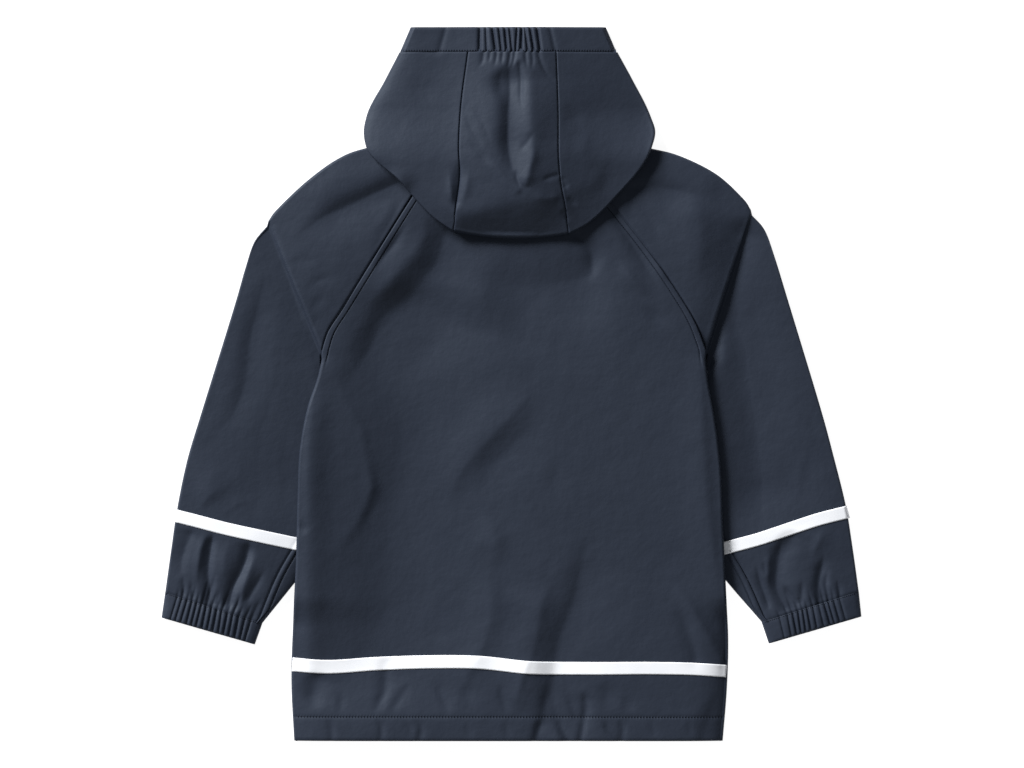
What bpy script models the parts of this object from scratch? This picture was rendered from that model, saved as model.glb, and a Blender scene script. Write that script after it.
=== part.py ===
"""A child's hooded raincoat of coated cloth, lying face down with its back up.

The coat is cut and sewn from a back, two fronts, two raglan sleeves with gathered cuffs, a hood of three
panels with a gathered brim, and reflective tapes. Each piece is one closed wall of cloth. Tables are in
millimetres: +X to the right, +Y towards the hood, +Z up, with the coat lying on z = 0 around the origin.
"""

import math

import bmesh
import bpy
import numpy as np

MM = 0.001
CLOTH = 1.2  # thickness of the coated cloth
GAP = 0.3  # between two pieces at a seam
SEAM_WIDTH = 5.8  # a felled seam, raised on the cloth beside it
SEAM_RISE = 0.5
TAPE_THICKNESS = 0.7
TAPE_LIFT = 0.55
TAPES = {
    # the panel's row below it, the shares of the way to the next row where its two edges run, at its left
    # and its right end, and the panel's columns that it crosses
    "body": (4, (0.295, 0.08), (0.871, 0.595), 3, 26),
    "sleeve_left": (20, (0.04, 0.04), (0.34, 0.34), 0, 12),
    "sleeve_right": (20, (0.04, 0.04), (0.34, 0.34), 14, 26),
}

# The body.
HEM_LINE = -299.6  # the stitching of the turn-up, which is doubled cloth and raised below this line
HEM_RISE = 0.5
UNDERARM = 30.0  # how far up the coat the underarm points lie
RAGLAN_START = 18.0  # the side edge becomes a raglan seam over this much below the underarm point
NECK_LINE = 201.0
NECK_DIP = 6.0
NECK_HALF = 64.0
BODY_EDGE = 6.0  # height of the folded side edge
BODY_CROWN = 17.0
HEM_CROWN = 11.0
NECK_CROWN = 13.2
RAGLAN_TOP = 12.5
EDGE_REACH = 26.0  # the back rises from its edges over about this width
EDGE_IN = 4.0  # what lies under the edge is judged this far in from it
HEM_SLOPE = (-325.0, -215.0)  # the crown rises over this stretch, and falls again over the next
NECK_SLOPE = (40.0, 120.0)
SIDE_TURN = 7.0  # how far the back is carried round under its side edge
TURN_ANGLES = ((0.0, 0.0), (40.0, 0.44), (90.0, 0.85), (140.0, 1.0))  # round the fold, and share over a seam
TURN_LOW = 6.0  # the fold's underside takes its height this far in
TURN_IN = 2.0  # and its upper side this far past the fold
SEAM_LIFT = 0.2  # a seam edge starts this much above the fold's
SEAM_STEP = 0.9
SEAM_END = 1.0  # the raised strip's foot
ACROSS_IN = 6.0  # the even points across the back start this far in from the strips
RAMP = 27.0  # the body comes down from a sleeve under it to the floor over this width
RAMP_CLEAR = 10.0
REST_HEIGHT = 8.3  # what the body rests on over a sleeve
REST_FADE = 26.0  # above the underarm it comes down to the floor over this length
BACK_ACROSS = 19
BACK_ROWS = [-321.3, -300.2, -299.0, -280.0, -264.5, -243.5, -226.0, -208.0, -190.0, -172.0, -152.0, -132.0,
             -112.0, -92.0, -72.0, -54.0, -36.0, -20.0, -4.0, 10.0, 20.0, 30.0, 44.0, 60.0, 80.0, 101.0,
             122.0, 144.0, 166.0, 185.0, 201.0]
FRONT_ROWS = [y for y in BACK_ROWS if y not in (-300.2, -280.0, -264.5, -226.0)]
FRONT_SHARES = (0.0, 0.05, 0.13, 0.22, 0.32, 0.43, 0.56, 0.70, 0.80, 0.865, 1.0)
FRONT_OVERLAP = 26.0  # the left front lies over the right by this much, and steps up by the lift
FRONT_LIFT = 1.6
FRONT_STEP = (14.0, 1.0)  # where the lap's step starts and ends, before the other front's edge
FRONT_EASE = 60.0  # the fronts' rows bend towards the neckline from here up
FRONT_NECK = [(-79.8, 223.2), (-67.4, 202.4), (-61.0, 176.0), (-42.0, 150.0), (0.0, 136.0), (36.0, 150.0),
              (54.0, 176.0), (59.3, 202.4), (73.0, 223.2)]

# The back's side edges, from the hem up to the underarm point, then its raglan seams up to the neck.
SIDE_EDGE = {
    "left": [(-195.8, -321.3), (-198.4, -266.4), (-196.7, -212.4), (-194.0, -158.4), (-192.6, -104.4),
             (-190.3, -57.6), (-183.2, -19.8), (-173.2, 11.0), (-170.6, 30.0)],
    "right": [(190.3, -321.3), (194.0, -275.4), (195.3, -230.4), (193.1, -185.4), (190.3, -122.4),
              (188.6, -76.5), (183.2, -31.5), (176.0, 11.0), (175.1, 30.0)],
}
RAGLAN_SEAM = {
    "left": [(-170.6, 30.0), (-166.4, 44.0), (-152.6, 66.6), (-128.2, 106.2), (-90.5, 166.5), (-68.0, 201.0)],
    "right": [(175.1, 30.0), (166.4, 53.0), (149.0, 82.8), (126.5, 115.2), (87.8, 164.7), (59.9, 201.0)],
}

# The sleeves.
CAP_SECTIONS = 6  # the sections above the tuck, which end at the raglan seams
CAP_END = 1.3  # they end this far in from the seam beneath
CAP_LOW = 0.8  # lower at the tuck, clear of the upper layer's step down
CAP_HEM = 20.0  # the last stretch of these beneath, which rises to the front near the underarm
TOP_COLUMNS = 10
BOTTOM_COLUMNS = 5
FOLD_ANGLES = (45.0, 76.0, 84.0, 96.0, 104.0, 135.0)  # round a sleeve's outer fold
FOLD_COLUMN = 13  # the sleeve's solid is in two layers, which meet in the middle of that fold
UNDER_BODY = 6.9  # the most a sleeve stands where the body lies on it
PRESS_REACH = 14.0  # it is pressed down this far beside the body too, and rises from there by the slope
PRESS_SLOPE = 0.2
UNDERARM_SHOWN = -60.0  # from here down the under layer comes round to the underarm seam on top
SLEEVE_TURN = (2.0, 1.8)  # above, where the body hides it, it ends this far in from its fold and up
SLEEVE_STEPS = [2, 1, 2, 2, 2, 1, 1, 2, 2, 2, 2, 1, 1, 1]  # rows between one section and the next

# Sections across each sleeve, from the neck to the cuff: the plan of their outer and inner ends.
SLEEVE_PLAN = {
    "left": [
        # outer x, outer y, inner x, inner y
        (-78.8, 222.3, -68.0, 201.0),
        (-131.0, 212.6, -90.5, 166.5),
        (-157.0, 202.6, -104.0, 144.0),
        (-185.0, 182.3, -131.0, 101.0),
        (-211.0, 157.6, -157.0, 60.0),
        (-218.9, 147.2, -170.6, 30.0),
        (-220.3, 142.2, -171.8, 24.5),
        (-231.8, 127.8, -170.5, 9.0),
        (-239.8, 104.4, -161.0, -16.0),
        (-250.7, 66.6, -146.0, -46.0),
        (-278.6, -23.4, -138.0, -92.7),
        (-292.1, -68.4, -148.1, -117.9),
        (-301.1, -111.6, -167.0, -143.1),
        (-306.4, -147.6, -193.1, -176.4),
        (-311.9, -187.2, -224.3, -215.2),
    ],
    "right": [
        (72.0, 222.3, 59.9, 201.0),
        (124.0, 212.6, 87.8, 164.7),
        (153.0, 205.0, 104.0, 144.0),
        (185.0, 188.8, 136.0, 101.0),
        (208.6, 167.2, 162.0, 60.0),
        (215.6, 157.0, 175.1, 30.0),
        (216.8, 152.0, 176.2, 24.5),
        (228.2, 138.6, 175.5, 8.0),
        (237.2, 114.3, 166.0, -16.0),
        (248.8, 76.5, 151.0, -46.0),
        (277.7, -18.9, 144.0, -92.7),
        (290.2, -64.8, 153.5, -116.1),
        (301.1, -108.9, 169.7, -148.5),
        (307.4, -147.6, 194.0, -178.2),
        (312.8, -186.3, 225.1, -214.0),
    ],
}
# The heights of the same sections, and how far the underarm seam lies in from the inner end.
SLEEVE_HEIGHT = [
    # outer edge, crown, inner end, underarm seam
    (7.0, 11.5, 12.5, 0.0),
    (7.0, 11.5, 12.5, 0.0),
    (7.0, 12.0, 12.5, 0.0),
    (7.0, 12.5, 12.5, 0.0),
    (7.0, 12.5, 12.5, 0.0),
    (7.0, 12.5, 12.5, 0.0),
    (6.2, 7.6, 5.6, 0.8),
    (6.2, 8.0, 5.6, 4.0),
    (6.2, 8.4, 5.6, 9.0),
    (6.2, 8.8, 5.6, 16.0),
    (6.2, 9.2, 5.6, 24.0),
    (6.2, 9.4, 5.6, 26.0),
    (6.2, 9.4, 5.6, 24.0),
    (6.2, 9.6, 5.6, 18.0),
    (7.0, 10.0, 7.0, 4.0),
]
CUFF_PLAN = {
    # outer x, outer y, inner x, inner y, at the seam and at the opening
    "left": [(-312.0, -187.6, -224.4, -215.6), (-315.3, -210.4, -231.2, -234.6)],
    "right": [(312.9, -186.7, 225.2, -214.4), (315.3, -209.4, 231.8, -233.8)],
}
CUFF_EDGE = 6.8  # height of a cuff's two folded edges
CUFF_ROWS = [
    # share of the way to the opening, how gathered, height of the crown
    (0.0, 0.3, 9.4),
    (0.5, 1.0, 10.4),
    (1.0, 0.6, 9.6),
]
CUFF_GATHERS = {"left": (16, 0.08, 0.92), "right": (13, 0.20, 0.90)}  # waves, from and to across the top
CUFF_WAVE = 0.9

# The hood.
HOOD_MIDDLE = -2.7
HOOD_EDGE = 7.6  # height of the rolled edge
HOOD_BASE = 14.4  # the hood lies on the back from here up
HOOD_CROWN = 31.0
HOOD_SLOPE = (312.6, 205.0)  # the crown rises over this stretch
HOOD_STEP = (219.5, 211.0)  # the rolled edge climbs onto the shoulders over this stretch
HOOD_RETURN = (0.0, 0.33, 0.66, 0.92)  # rows beneath the hood, as shares of the way back to the neckline
HOOD_SEAM_RISE = 0.4  # the neck seam stands this far above the back's neckline
HOOD_REACH = 20.0  # it rises from its edges over about this width
HOOD_SAG = 5.0  # its lower edge bows down this far
HOOD_TOP_SHARES = (0.0, 0.14, 0.28, 0.42, 0.56, 0.70, 0.84, 1.0)
HOOD_UNDER_SHARES = (0.0, 0.35, 0.7, 1.0)
CENTER_ROWS = 14
CENTER_ACROSS = 9
FLAP_LOW = 0.15  # the side panels' stretch under the hood, between these heights
FLAP_HIGH = 1.05
FLAP_CENTER = 0.5
FLAP_INSET = 7.6
FLAP_RIM = (0.03, 0.40)  # the share of the hood's outline that it follows
FLAP_FACE = 12.0  # how far in from the brim's end its face edge starts
FLAP_APEX = 196.5
NECK_ROOM = 1.0
BRIM_TOP = 321.3
BRIM_SEAM = 298.6
BRIM_FLARE = 9.6  # the brim is this much wider at its seam on either side
BRIM_CORNER = {"left": (-90.9, 321.3), "right": (85.1, 321.3)}
BRIM_THICKNESS = 2.0
BRIM_EDGE = 7.0
BRIM_CROWN = 12.5
BRIM_CENTER = 0.5
BRIM_GATHERS = 10
BRIM_GATHERED = (-28.0, 27.0)
BRIM_WAVE = 1.1
BRIM_UNDER = 5
BRIM_ACROSS = 3
BRIM_TOP_X = np.concatenate([np.linspace(0.0, 0.32, 4)[:-1], np.linspace(0.32, 0.70, 4 * BRIM_GATHERS + 3),
                             np.linspace(0.70, 1.0, 4)[1:]])
OPENING_APEX = 228.0  # where the two brims meet under the hood

# The hood, seen from above: its outline from the brim's corner round to the lowest point, and the seams
# between the centre strip and the side panels from the brim down to the lower edge.
HOOD_OUTLINE = {
    "left": [(-100.4, 298.6), (-113.4, 273.6), (-130.2, 240.5), (-132.4, 228.0), (-130.6, 214.6),
             (-100.4, 182.7), (-66.4, 146.8), (-52.0, 137.0)],
    "right": [(95.0, 298.6), (108.7, 273.6), (125.0, 240.5), (128.9, 227.7), (125.6, 212.6),
              (93.6, 168.4), (65.0, 141.8), (51.0, 134.6)],
}
HOOD_SEAM = {
    "left": [(-39.1, 298.6), (-45.5, 247.5), (-47.2, 209.7), (-46.2, 189.9), (-50.0, 158.0), (-52.0, 140.8)],
    "right": [(40.1, 298.6), (41.9, 245.7), (42.4, 199.8), (44.0, 182.0), (48.0, 160.0), (51.0, 138.4)],
}
HOOD_ROWS = [
    # share down the seam, share round the outline, and where the row ends beneath, out from the middle and up
    (0.00, 0.00, 95.2, 296.0),
    (0.10, 0.10, 93.0, 281.0),
    (0.21, 0.20, 102.0, 261.0),
    (0.32, 0.29, 111.0, 242.0),
    (0.42, 0.355, 114.5, 230.5),
    (0.50, 0.405, 114.5, 224.0),
    (0.56, 0.440, 108.0, 220.5),
    (0.62, 0.480, 83.0, 212.0),
    (0.69, 0.560, 76.0, 209.0),
    (0.77, 0.660, 70.0, 206.5),
    (0.85, 0.770, 64.0, 204.0),
    (0.91, 0.880, 58.0, 201.0),
    (0.955, 1.000, 54.4, 198.6),
]

# The largest folds of the body and the sleeves: they run through these points, this wide, and sink
# (below zero) or stand (above zero) this far.
FOLDS = [
    # half width, height, (x, y) points
    (11.0, -3.6, [(-62.0, 134.0), (-80.0, 95.0), (-115.0, 59.0), (-148.0, 40.0), (-163.0, -14.0)]),
    (9.0, 2.2, [(-75.0, 128.0), (-103.0, 88.0), (-134.0, 62.0)]),
    (12.0, 2.4, [(7.0, 15.0), (-30.0, -40.0), (-64.0, -84.0), (-84.0, -117.0)]),
    (11.0, -2.4, [(27.0, -4.0), (-15.0, -53.0), (-43.0, -76.0), (-56.0, -117.0)]),
    (16.0, -3.0, [(-64.0, 4.0), (-100.0, -14.0), (-117.0, -106.0), (-142.0, -145.0), (-160.0, -205.0),
                  (-172.0, -238.0)]),
    (11.0, -2.0, [(-15.0, -114.0), (-4.0, -161.0), (-6.0, -200.0), (-26.0, -236.0)]),
    (10.0, -3.0, [(77.0, -103.0), (71.0, -145.0), (68.0, -181.0), (35.0, -200.0), (24.0, -244.0)]),
    (11.0, 2.0, [(97.0, 105.0), (134.0, 76.0)]),
    (14.0, -2.2, [(168.0, 35.0), (176.0, -104.0), (180.0, -158.0)]),
    (12.0, -2.6, [(48.0, -262.0), (42.0, -300.0)]),
]
SLEEVE_FOLDS = [
    (12.0, -2.2, [(-103.0, 177.0), (-145.0, 159.0), (-192.0, 144.0)]),
    (12.0, -2.2, [(101.0, 181.0), (174.0, 175.0)]),
    (10.0, -1.6, [(-230.0, 86.0), (-241.0, 31.0), (-253.0, -13.0), (-281.0, -53.0)]),
    (10.0, 1.2, [(228.0, 76.0), (232.0, -14.0), (224.0, -122.0)]),
    (9.0, -1.6, [(270.0, -50.0), (259.0, -104.0), (255.0, -127.0)]),
    (7.0, -1.8, [(-276.0, -135.0), (-279.0, -166.0), (-280.0, -186.0)]),
    (7.0, -1.8, [(-245.0, -141.0), (-250.0, -169.0), (-259.0, -190.0)]),
    (7.0, -1.8, [(249.0, -143.0), (238.0, -169.0), (244.0, -196.0)]),
    (7.0, -1.8, [(279.0, -143.0), (275.0, -172.0), (273.0, -190.0)]),
]
HOOD_FOLDS = [
    (9.0, -3.6, [(-11.0, 284.0), (-18.0, 262.0), (-9.0, 232.0), (-11.0, 208.0), (-3.0, 186.0)]),
    (8.0, 2.6, [(1.0, 266.0), (13.0, 225.0), (12.0, 178.0)]),
    (10.0, -1.6, [(-97.0, 274.0), (-56.0, 260.0)]),
    (9.0, 1.6, [(-44.0, 249.0), (-18.0, 200.0), (8.0, 175.0)]),
]

NAVY = (0.020, 0.024, 0.036)
REFLECTIVE = (0.88, 0.89, 0.90)


def curve(points):
    """A smooth curve through the points, as a function of the share of its length."""
    knots = np.array(points, float)
    steps = np.linalg.norm(np.diff(knots, axis=0), axis=1)
    along = np.concatenate([[0.0], np.cumsum(steps)]) / steps.sum()
    slopes = np.gradient(knots, along, axis=0)

    def at(share):
        share = np.atleast_1d(np.asarray(share, float))
        left = np.clip(np.searchsorted(along, share, side="right") - 1, 0, len(along) - 2)
        length = (along[left + 1] - along[left])[:, None]
        t = ((share - along[left])[:, None]) / length
        start = (2 * t**3 - 3 * t**2 + 1) * knots[left] + (t**3 - 2 * t**2 + t) * length * slopes[left]
        end = (3 * t**2 - 2 * t**3) * knots[left + 1] + (t**3 - t**2) * length * slopes[left + 1]
        return start + end

    return at


def soft_step(low, high, value):
    """0 below low, 1 above high, and an even rise between."""
    share = np.clip((np.asarray(value, float) - low) / (high - low), 0.0, 1.0)
    return share * share * (3.0 - 2.0 * share)


def path_distance(points, x, y):
    """How far (x, y) lies from a path, and the share of the path where it is nearest."""
    path = np.array(points, float)
    if len(points) > 2:
        path = curve(points)(np.linspace(0.0, 1.0, 6 * len(points)))
    start = path[:-1]
    run = np.diff(path, axis=0)
    to_x = np.asarray(x, float)[..., None] - start[:, 0]
    to_y = np.asarray(y, float)[..., None] - start[:, 1]
    share = np.clip((to_x * run[:, 0] + to_y * run[:, 1]) / (run**2).sum(axis=1), 0.0, 1.0)
    away = np.hypot(to_x - share * run[:, 0], to_y - share * run[:, 1])
    nearest = away.argmin(axis=-1)
    part = np.take_along_axis(share, nearest[..., None], -1)[..., 0]
    return away.min(axis=-1), (nearest + part) / len(run)


def fold_height(folds, x, y):
    """The height that the folds add at (x, y); each fades out over its two ends."""
    total = np.zeros(np.broadcast(x, y).shape)
    for half_width, height, points in folds:
        away, share = path_distance(points, x, y)
        fade = soft_step(0.0, 0.2, share) * soft_step(0.0, 0.2, 1.0 - share)
        total = total + height * fade * np.exp(-((away / half_width) ** 2))
    return total


def material(name, color, roughness, metallic=0.0):
    made = bpy.data.materials.new(name)
    made.use_nodes = True
    shader = made.node_tree.nodes["Principled BSDF"]
    shader.inputs["Base Color"].default_value = (*color, 1.0)
    shader.inputs["Roughness"].default_value = roughness
    shader.inputs["Metallic"].default_value = metallic
    return made


def wall(name, points, color=NAVY, roughness=0.5, thickness=CLOTH, ring=False):
    """A closed wall of cloth: its outer face runs through the grid of points, and it is this thick inwards.

    Seen from outside with its rows running up the page, its columns run from left to right. In a ring the
    last column joins the first.
    """
    points = np.asarray(points, float)
    rows, columns = points.shape[:2]
    mesh = bmesh.new()
    grid = [[mesh.verts.new(point * MM) for point in row] for row in points]
    for i in range(rows - 1):
        for j in range(columns if ring else columns - 1):
            k = (j + 1) % columns
            mesh.faces.new((grid[i][j], grid[i][k], grid[i + 1][k], grid[i + 1][j]))
    data = bpy.data.meshes.new(name)
    mesh.to_mesh(data)
    mesh.free()
    piece = bpy.data.objects.new(name, data)
    bpy.context.scene.collection.objects.link(piece)
    data.materials.append(material(name, color, roughness))
    data.shade_smooth()
    solidify = piece.modifiers.new("Cloth", "SOLIDIFY")
    solidify.thickness = thickness * MM
    solidify.offset = -1.0
    solidify.use_quality_normals = True
    return piece


def plate(name, outline, low, high):
    """A flat piece of this outline, drawn anticlockwise, between two heights."""
    mesh = bmesh.new()
    corners = [mesh.verts.new((x * MM, y * MM, low * MM)) for x, y in outline]
    bottom = mesh.faces.new(corners)
    made = bmesh.ops.extrude_face_region(mesh, geom=[bottom])
    for item in made["geom"]:
        if isinstance(item, bmesh.types.BMVert):
            item.co.z = high * MM
    bmesh.ops.recalc_face_normals(mesh, faces=mesh.faces)
    data = bpy.data.meshes.new(name)
    mesh.to_mesh(data)
    mesh.free()
    piece = bpy.data.objects.new(name, data)
    bpy.context.scene.collection.objects.link(piece)
    return piece


def join(piece, other):
    """Makes the other shape part of the piece."""
    union = piece.modifiers.new("Join", "BOOLEAN")
    union.operation = "UNION"
    union.object = other
    other.hide_render = True
    other.display_type = "WIRE"


def sleeve_sections(side):
    """The sleeve's sections at every row, with their heights."""
    plan = np.array(SLEEVE_PLAN[side])
    heights = np.array(SLEEVE_HEIGHT)
    sections = []
    for first, last in ((0, CAP_SECTIONS), (CAP_SECTIONS, len(plan))):
        outer = plan[first:last, 0:2]
        inner = plan[first:last, 2:4]
        table = np.hstack([outer, inner, heights[first:last]])
        knots = np.arange(len(table), dtype=float)
        steps = SLEEVE_STEPS[first : last - 1]
        shares = np.concatenate([k + np.arange(n) / n for k, n in enumerate(steps)] + [[knots[-1]]])
        slopes = np.gradient(table, axis=0)
        left = np.clip(shares.astype(int), 0, len(table) - 2)
        t = (shares - left)[:, None]
        rows = (2 * t**3 - 3 * t**2 + 1) * table[left] + (t**3 - 2 * t**2 + t) * slopes[left]
        rows = rows + (3 * t**2 - 2 * t**3) * table[left + 1] + (t**3 - t**2) * slopes[left + 1]
        if first == 0:
            for row in rows:
                row[3] = min(BACK_ROWS, key=lambda y: abs(y - row[3]))
                row[2] = edge_x(side, row[3])
        sections += [(row, first == 0) for row in rows]
    return sections


def under_polygon(side):
    """The plan of the sleeve below its tuck, which the body lies on."""
    plan = np.array(SLEEVE_PLAN[side])[CAP_SECTIONS:]
    return np.vstack([plan[:, 0:2], plan[::-1, 2:4]])


def sleeve_under(x, y):
    """How much of the sleeve's height is under the body at (x, y), from 0 to 1, with a ramp beside it."""
    x = np.asarray(x, float)
    y = np.asarray(y, float)
    most = np.zeros(x.shape)
    for side in ("left", "right"):
        corners = under_polygon(side)
        following = np.roll(corners, -1, axis=0)
        away = np.full(x.shape, 1e9)
        inside = np.zeros(x.shape, bool)
        for (ax, ay), (bx, by) in zip(corners, following):
            share = ((x - ax) * (bx - ax) + (y - ay) * (by - ay)) / ((bx - ax) ** 2 + (by - ay) ** 2)
            share = np.clip(share, 0.0, 1.0)
            away = np.minimum(away, np.hypot(x - ax - share * (bx - ax), y - ay - share * (by - ay)))
            if ay != by:
                crosses = ((ay > y) != (by > y)) & (x < ax + (y - ay) * (bx - ax) / (by - ay))
                inside ^= crosses
        signed = np.where(inside, away, -away)
        most = np.maximum(most, soft_step(-RAMP, -RAMP_CLEAR, signed))
    return most


def rest_height(x, y):
    """The height that the body rests on at (x, y)."""
    return REST_HEIGHT * sleeve_under(x, y) * soft_step(UNDERARM + REST_FADE, UNDERARM, y)


def edge_x(side, y):
    """Where the back ends at this height: its side edge, or its raglan seam above the underarm."""
    shares = np.linspace(0.0, 1.0, 60)
    line = np.vstack([curve(SIDE_EDGE[side])(shares), curve(RAGLAN_SEAM[side])(shares)[1:]])
    return np.interp(y, line[:, 1], line[:, 0])


def back_top(x, y):
    """The height of the back's outer face at (x, y), away from its rolled side edges."""
    left = edge_x("left", y)
    right = edge_x("right", y)
    crown = HEM_CROWN + (BODY_CROWN - HEM_CROWN) * soft_step(*HEM_SLOPE, y)
    crown = crown - (BODY_CROWN - NECK_CROWN) * soft_step(*NECK_SLOPE, y)
    height = crown
    for out, edge in ((-1.0, left), (1.0, right)):
        away = np.abs(x - edge)
        on_sleeve = BODY_EDGE + rest_height(edge - out * EDGE_IN, y)
        rim = on_sleeve + (RAGLAN_TOP - on_sleeve) * soft_step(UNDERARM - RAGLAN_START, UNDERARM, y)
        height = height - (crown - rim) * np.exp(-away / EDGE_REACH)
    return height + fold_height(FOLDS, x, y)


def turned_under(y):
    """How far the side edge is folded under: 1 along the body, falling to 0 at the underarm point."""
    return 1.0 - soft_step(UNDERARM - RAGLAN_START, UNDERARM, y)


def back_row(y_row):
    """One row of points across the back, from its right edge to its left."""
    wrapped = turned_under(y_row)
    lines = {}
    for side, out in (("left", -1.0), ("right", 1.0)):
        edge = float(edge_x(side, y_row))
        seam = edge - out * GAP / 2 * (1.0 - wrapped)
        low = float(rest_height(edge - out * TURN_LOW, y_row)) + SEAM_LIFT * (1.0 - wrapped)
        radius = BODY_EDGE / 2
        inner_top = float(back_top(edge - out * (radius + TURN_IN), y_row))
        turn = []
        for angle, share in TURN_ANGLES:
            across = radius * math.sin(math.radians(angle))
            up = radius * (1.0 - math.cos(math.radians(angle)))
            x_round = edge - out * (radius - across)
            z_round = low + up * (inner_top - low) / BODY_EDGE
            x_flat = seam - out * share * (SEAM_WIDTH + SEAM_END)
            z_flat = float(back_top(x_flat, y_row)) + (SEAM_RISE if share < 1.0 else 0.0)
            x_turn = wrapped * x_round + (1 - wrapped) * x_flat
            turn.append((x_turn, wrapped * z_round + (1 - wrapped) * z_flat))
        x_under = edge - out * SIDE_TURN
        low_under = float(rest_height(x_under, y_row))
        start = (wrapped * x_under + (1 - wrapped) * seam, wrapped * low_under + (1 - wrapped) * turn[0][1])
        if wrapped < 1.0:
            turn = [(x - out * (1 - wrapped) * SEAM_STEP, z) for x, z in turn]
        lines[side] = [start] + turn
    left_in = lines["left"][-1][0] + ACROSS_IN
    right_in = lines["right"][-1][0] - ACROSS_IN
    xs = np.linspace(right_in, left_in, BACK_ACROSS)
    middle = list(zip(xs, back_top(xs, np.full(len(xs), y_row))))
    return [(x, y_row, z) for x, z in lines["right"] + middle + lines["left"][::-1]]


def neck_y(x):
    """The back's neckline, which dips in the middle."""
    return NECK_LINE - NECK_DIP * np.clip(1.0 - (np.asarray(x) / NECK_HALF) ** 2, 0.0, None)


def back_grid():
    """All the points of the back's outer face."""
    points = np.array([back_row(y) for y in BACK_ROWS])
    points[..., 1] -= soft_step(150.0, NECK_LINE, points[..., 1]) * (NECK_LINE - neck_y(points[..., 0]))
    points[..., 2] += np.where(points[..., 1] < HEM_LINE, HEM_RISE, 0.0)
    return points[:, ::-1]


def moved_out(points, distance):
    """The same grid of points, moved out along its normals."""
    across = np.gradient(points, axis=1)
    along = np.gradient(points, axis=0)
    normal = np.cross(across, along)
    return points + distance * normal / np.linalg.norm(normal, axis=2, keepdims=True)


def make_tape(name, grid):
    """A tape that lies on a panel, between two shares of the way from one of its rows to the next."""
    row, low, high, first, last = TAPES[name]
    run = grid[row + 1, first:last] - grid[row, first:last]
    shares = [np.linspace(*ends, last - first)[:, None] for ends in (low, high)]
    lines = [grid[row, first:last] + run * share for share in shares]
    points = moved_out(np.array(lines), TAPE_LIFT + TAPE_THICKNESS)
    return wall("tape_" + name, points, REFLECTIVE, thickness=TAPE_THICKNESS)


def sleeve_ring(row, is_cap):
    """Points round one section: over the top from the inner end, round the outer edge and back beneath."""
    outer = row[0:2]
    inner = row[2:4]
    edge, crown, inner_height, seam_in = row[4:8]
    width = float(np.linalg.norm(outer - inner))
    along = (outer - inner) / width
    radius = edge / 2
    start = GAP / 2 if is_cap else seam_in
    inner_radius = inner_height / 2

    def top(s):
        share = np.clip(s / width, 0.0, 1.0)
        rise = math.sin(math.pi * share) ** 0.7
        line = inner_height + (edge - inner_height) * share
        peak = crown - (inner_height + edge) / 2
        return line + peak * rise

    ring = []
    for share in np.linspace(0.0, 1.0, TOP_COLUMNS):
        s = start + (width - radius - start) * share
        ring.append((s, top(s)))
    for angle in np.radians(FOLD_ANGLES):
        ring.append((width - radius + radius * math.sin(angle), radius * (1.0 + math.cos(angle))))
    bottom_end = CAP_HEM if is_cap else inner_radius
    for share in np.linspace(0.0, 1.0, BOTTOM_COLUMNS):
        ring.append((width - radius + (bottom_end - width + radius) * share, 0.0))
    if is_cap:
        seam_height = float(rest_height(inner[0], inner[1])) * (CAP_LOW if inner[1] <= UNDERARM else 1.0)
        for share in np.linspace(0.0, 1.0, 6)[1:]:
            ring.append((CAP_HEM + (CAP_END - CAP_HEM) * share, seam_height * share * share))
    else:
        shown = inner[1] < UNDERARM_SHOWN
        round_to = 180.0 if shown else 105.0
        for angle in np.radians(round_to * np.array((0.25, 0.5, 0.75, 1.0))):
            ring.append((inner_radius * (1.0 - math.sin(angle)), inner_radius * (1.0 - math.cos(angle))))
        last = start - GAP
        ring.append((last, top(last)) if shown else SLEEVE_TURN)
    return [(*(inner + along * s), z) for s, z in ring]


def sleeve_grid(side):
    """All the points of a sleeve's outer face, as seen from outside: one cloth, folded at its outer edge."""
    points = np.array([sleeve_ring(row, is_cap) for row, is_cap in sleeve_sections(side)])
    top = points[:, :TOP_COLUMNS]
    top[..., 2] += fold_height(SLEEVE_FOLDS, top[..., 0], top[..., 1])
    out = -1.0 if side == "left" else 1.0
    outside = out * (points[..., 0] - edge_x(side, points[..., 1]))
    arm = np.array([not is_cap for _, is_cap in sleeve_sections(side)])[:, None]
    most = UNDER_BODY + PRESS_SLOPE * np.clip(outside - PRESS_REACH, 0.0, None)
    points[..., 2] = np.where(arm, np.minimum(points[..., 2], most), points[..., 2])
    return points if side == "left" else points[:, ::-1]


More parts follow.
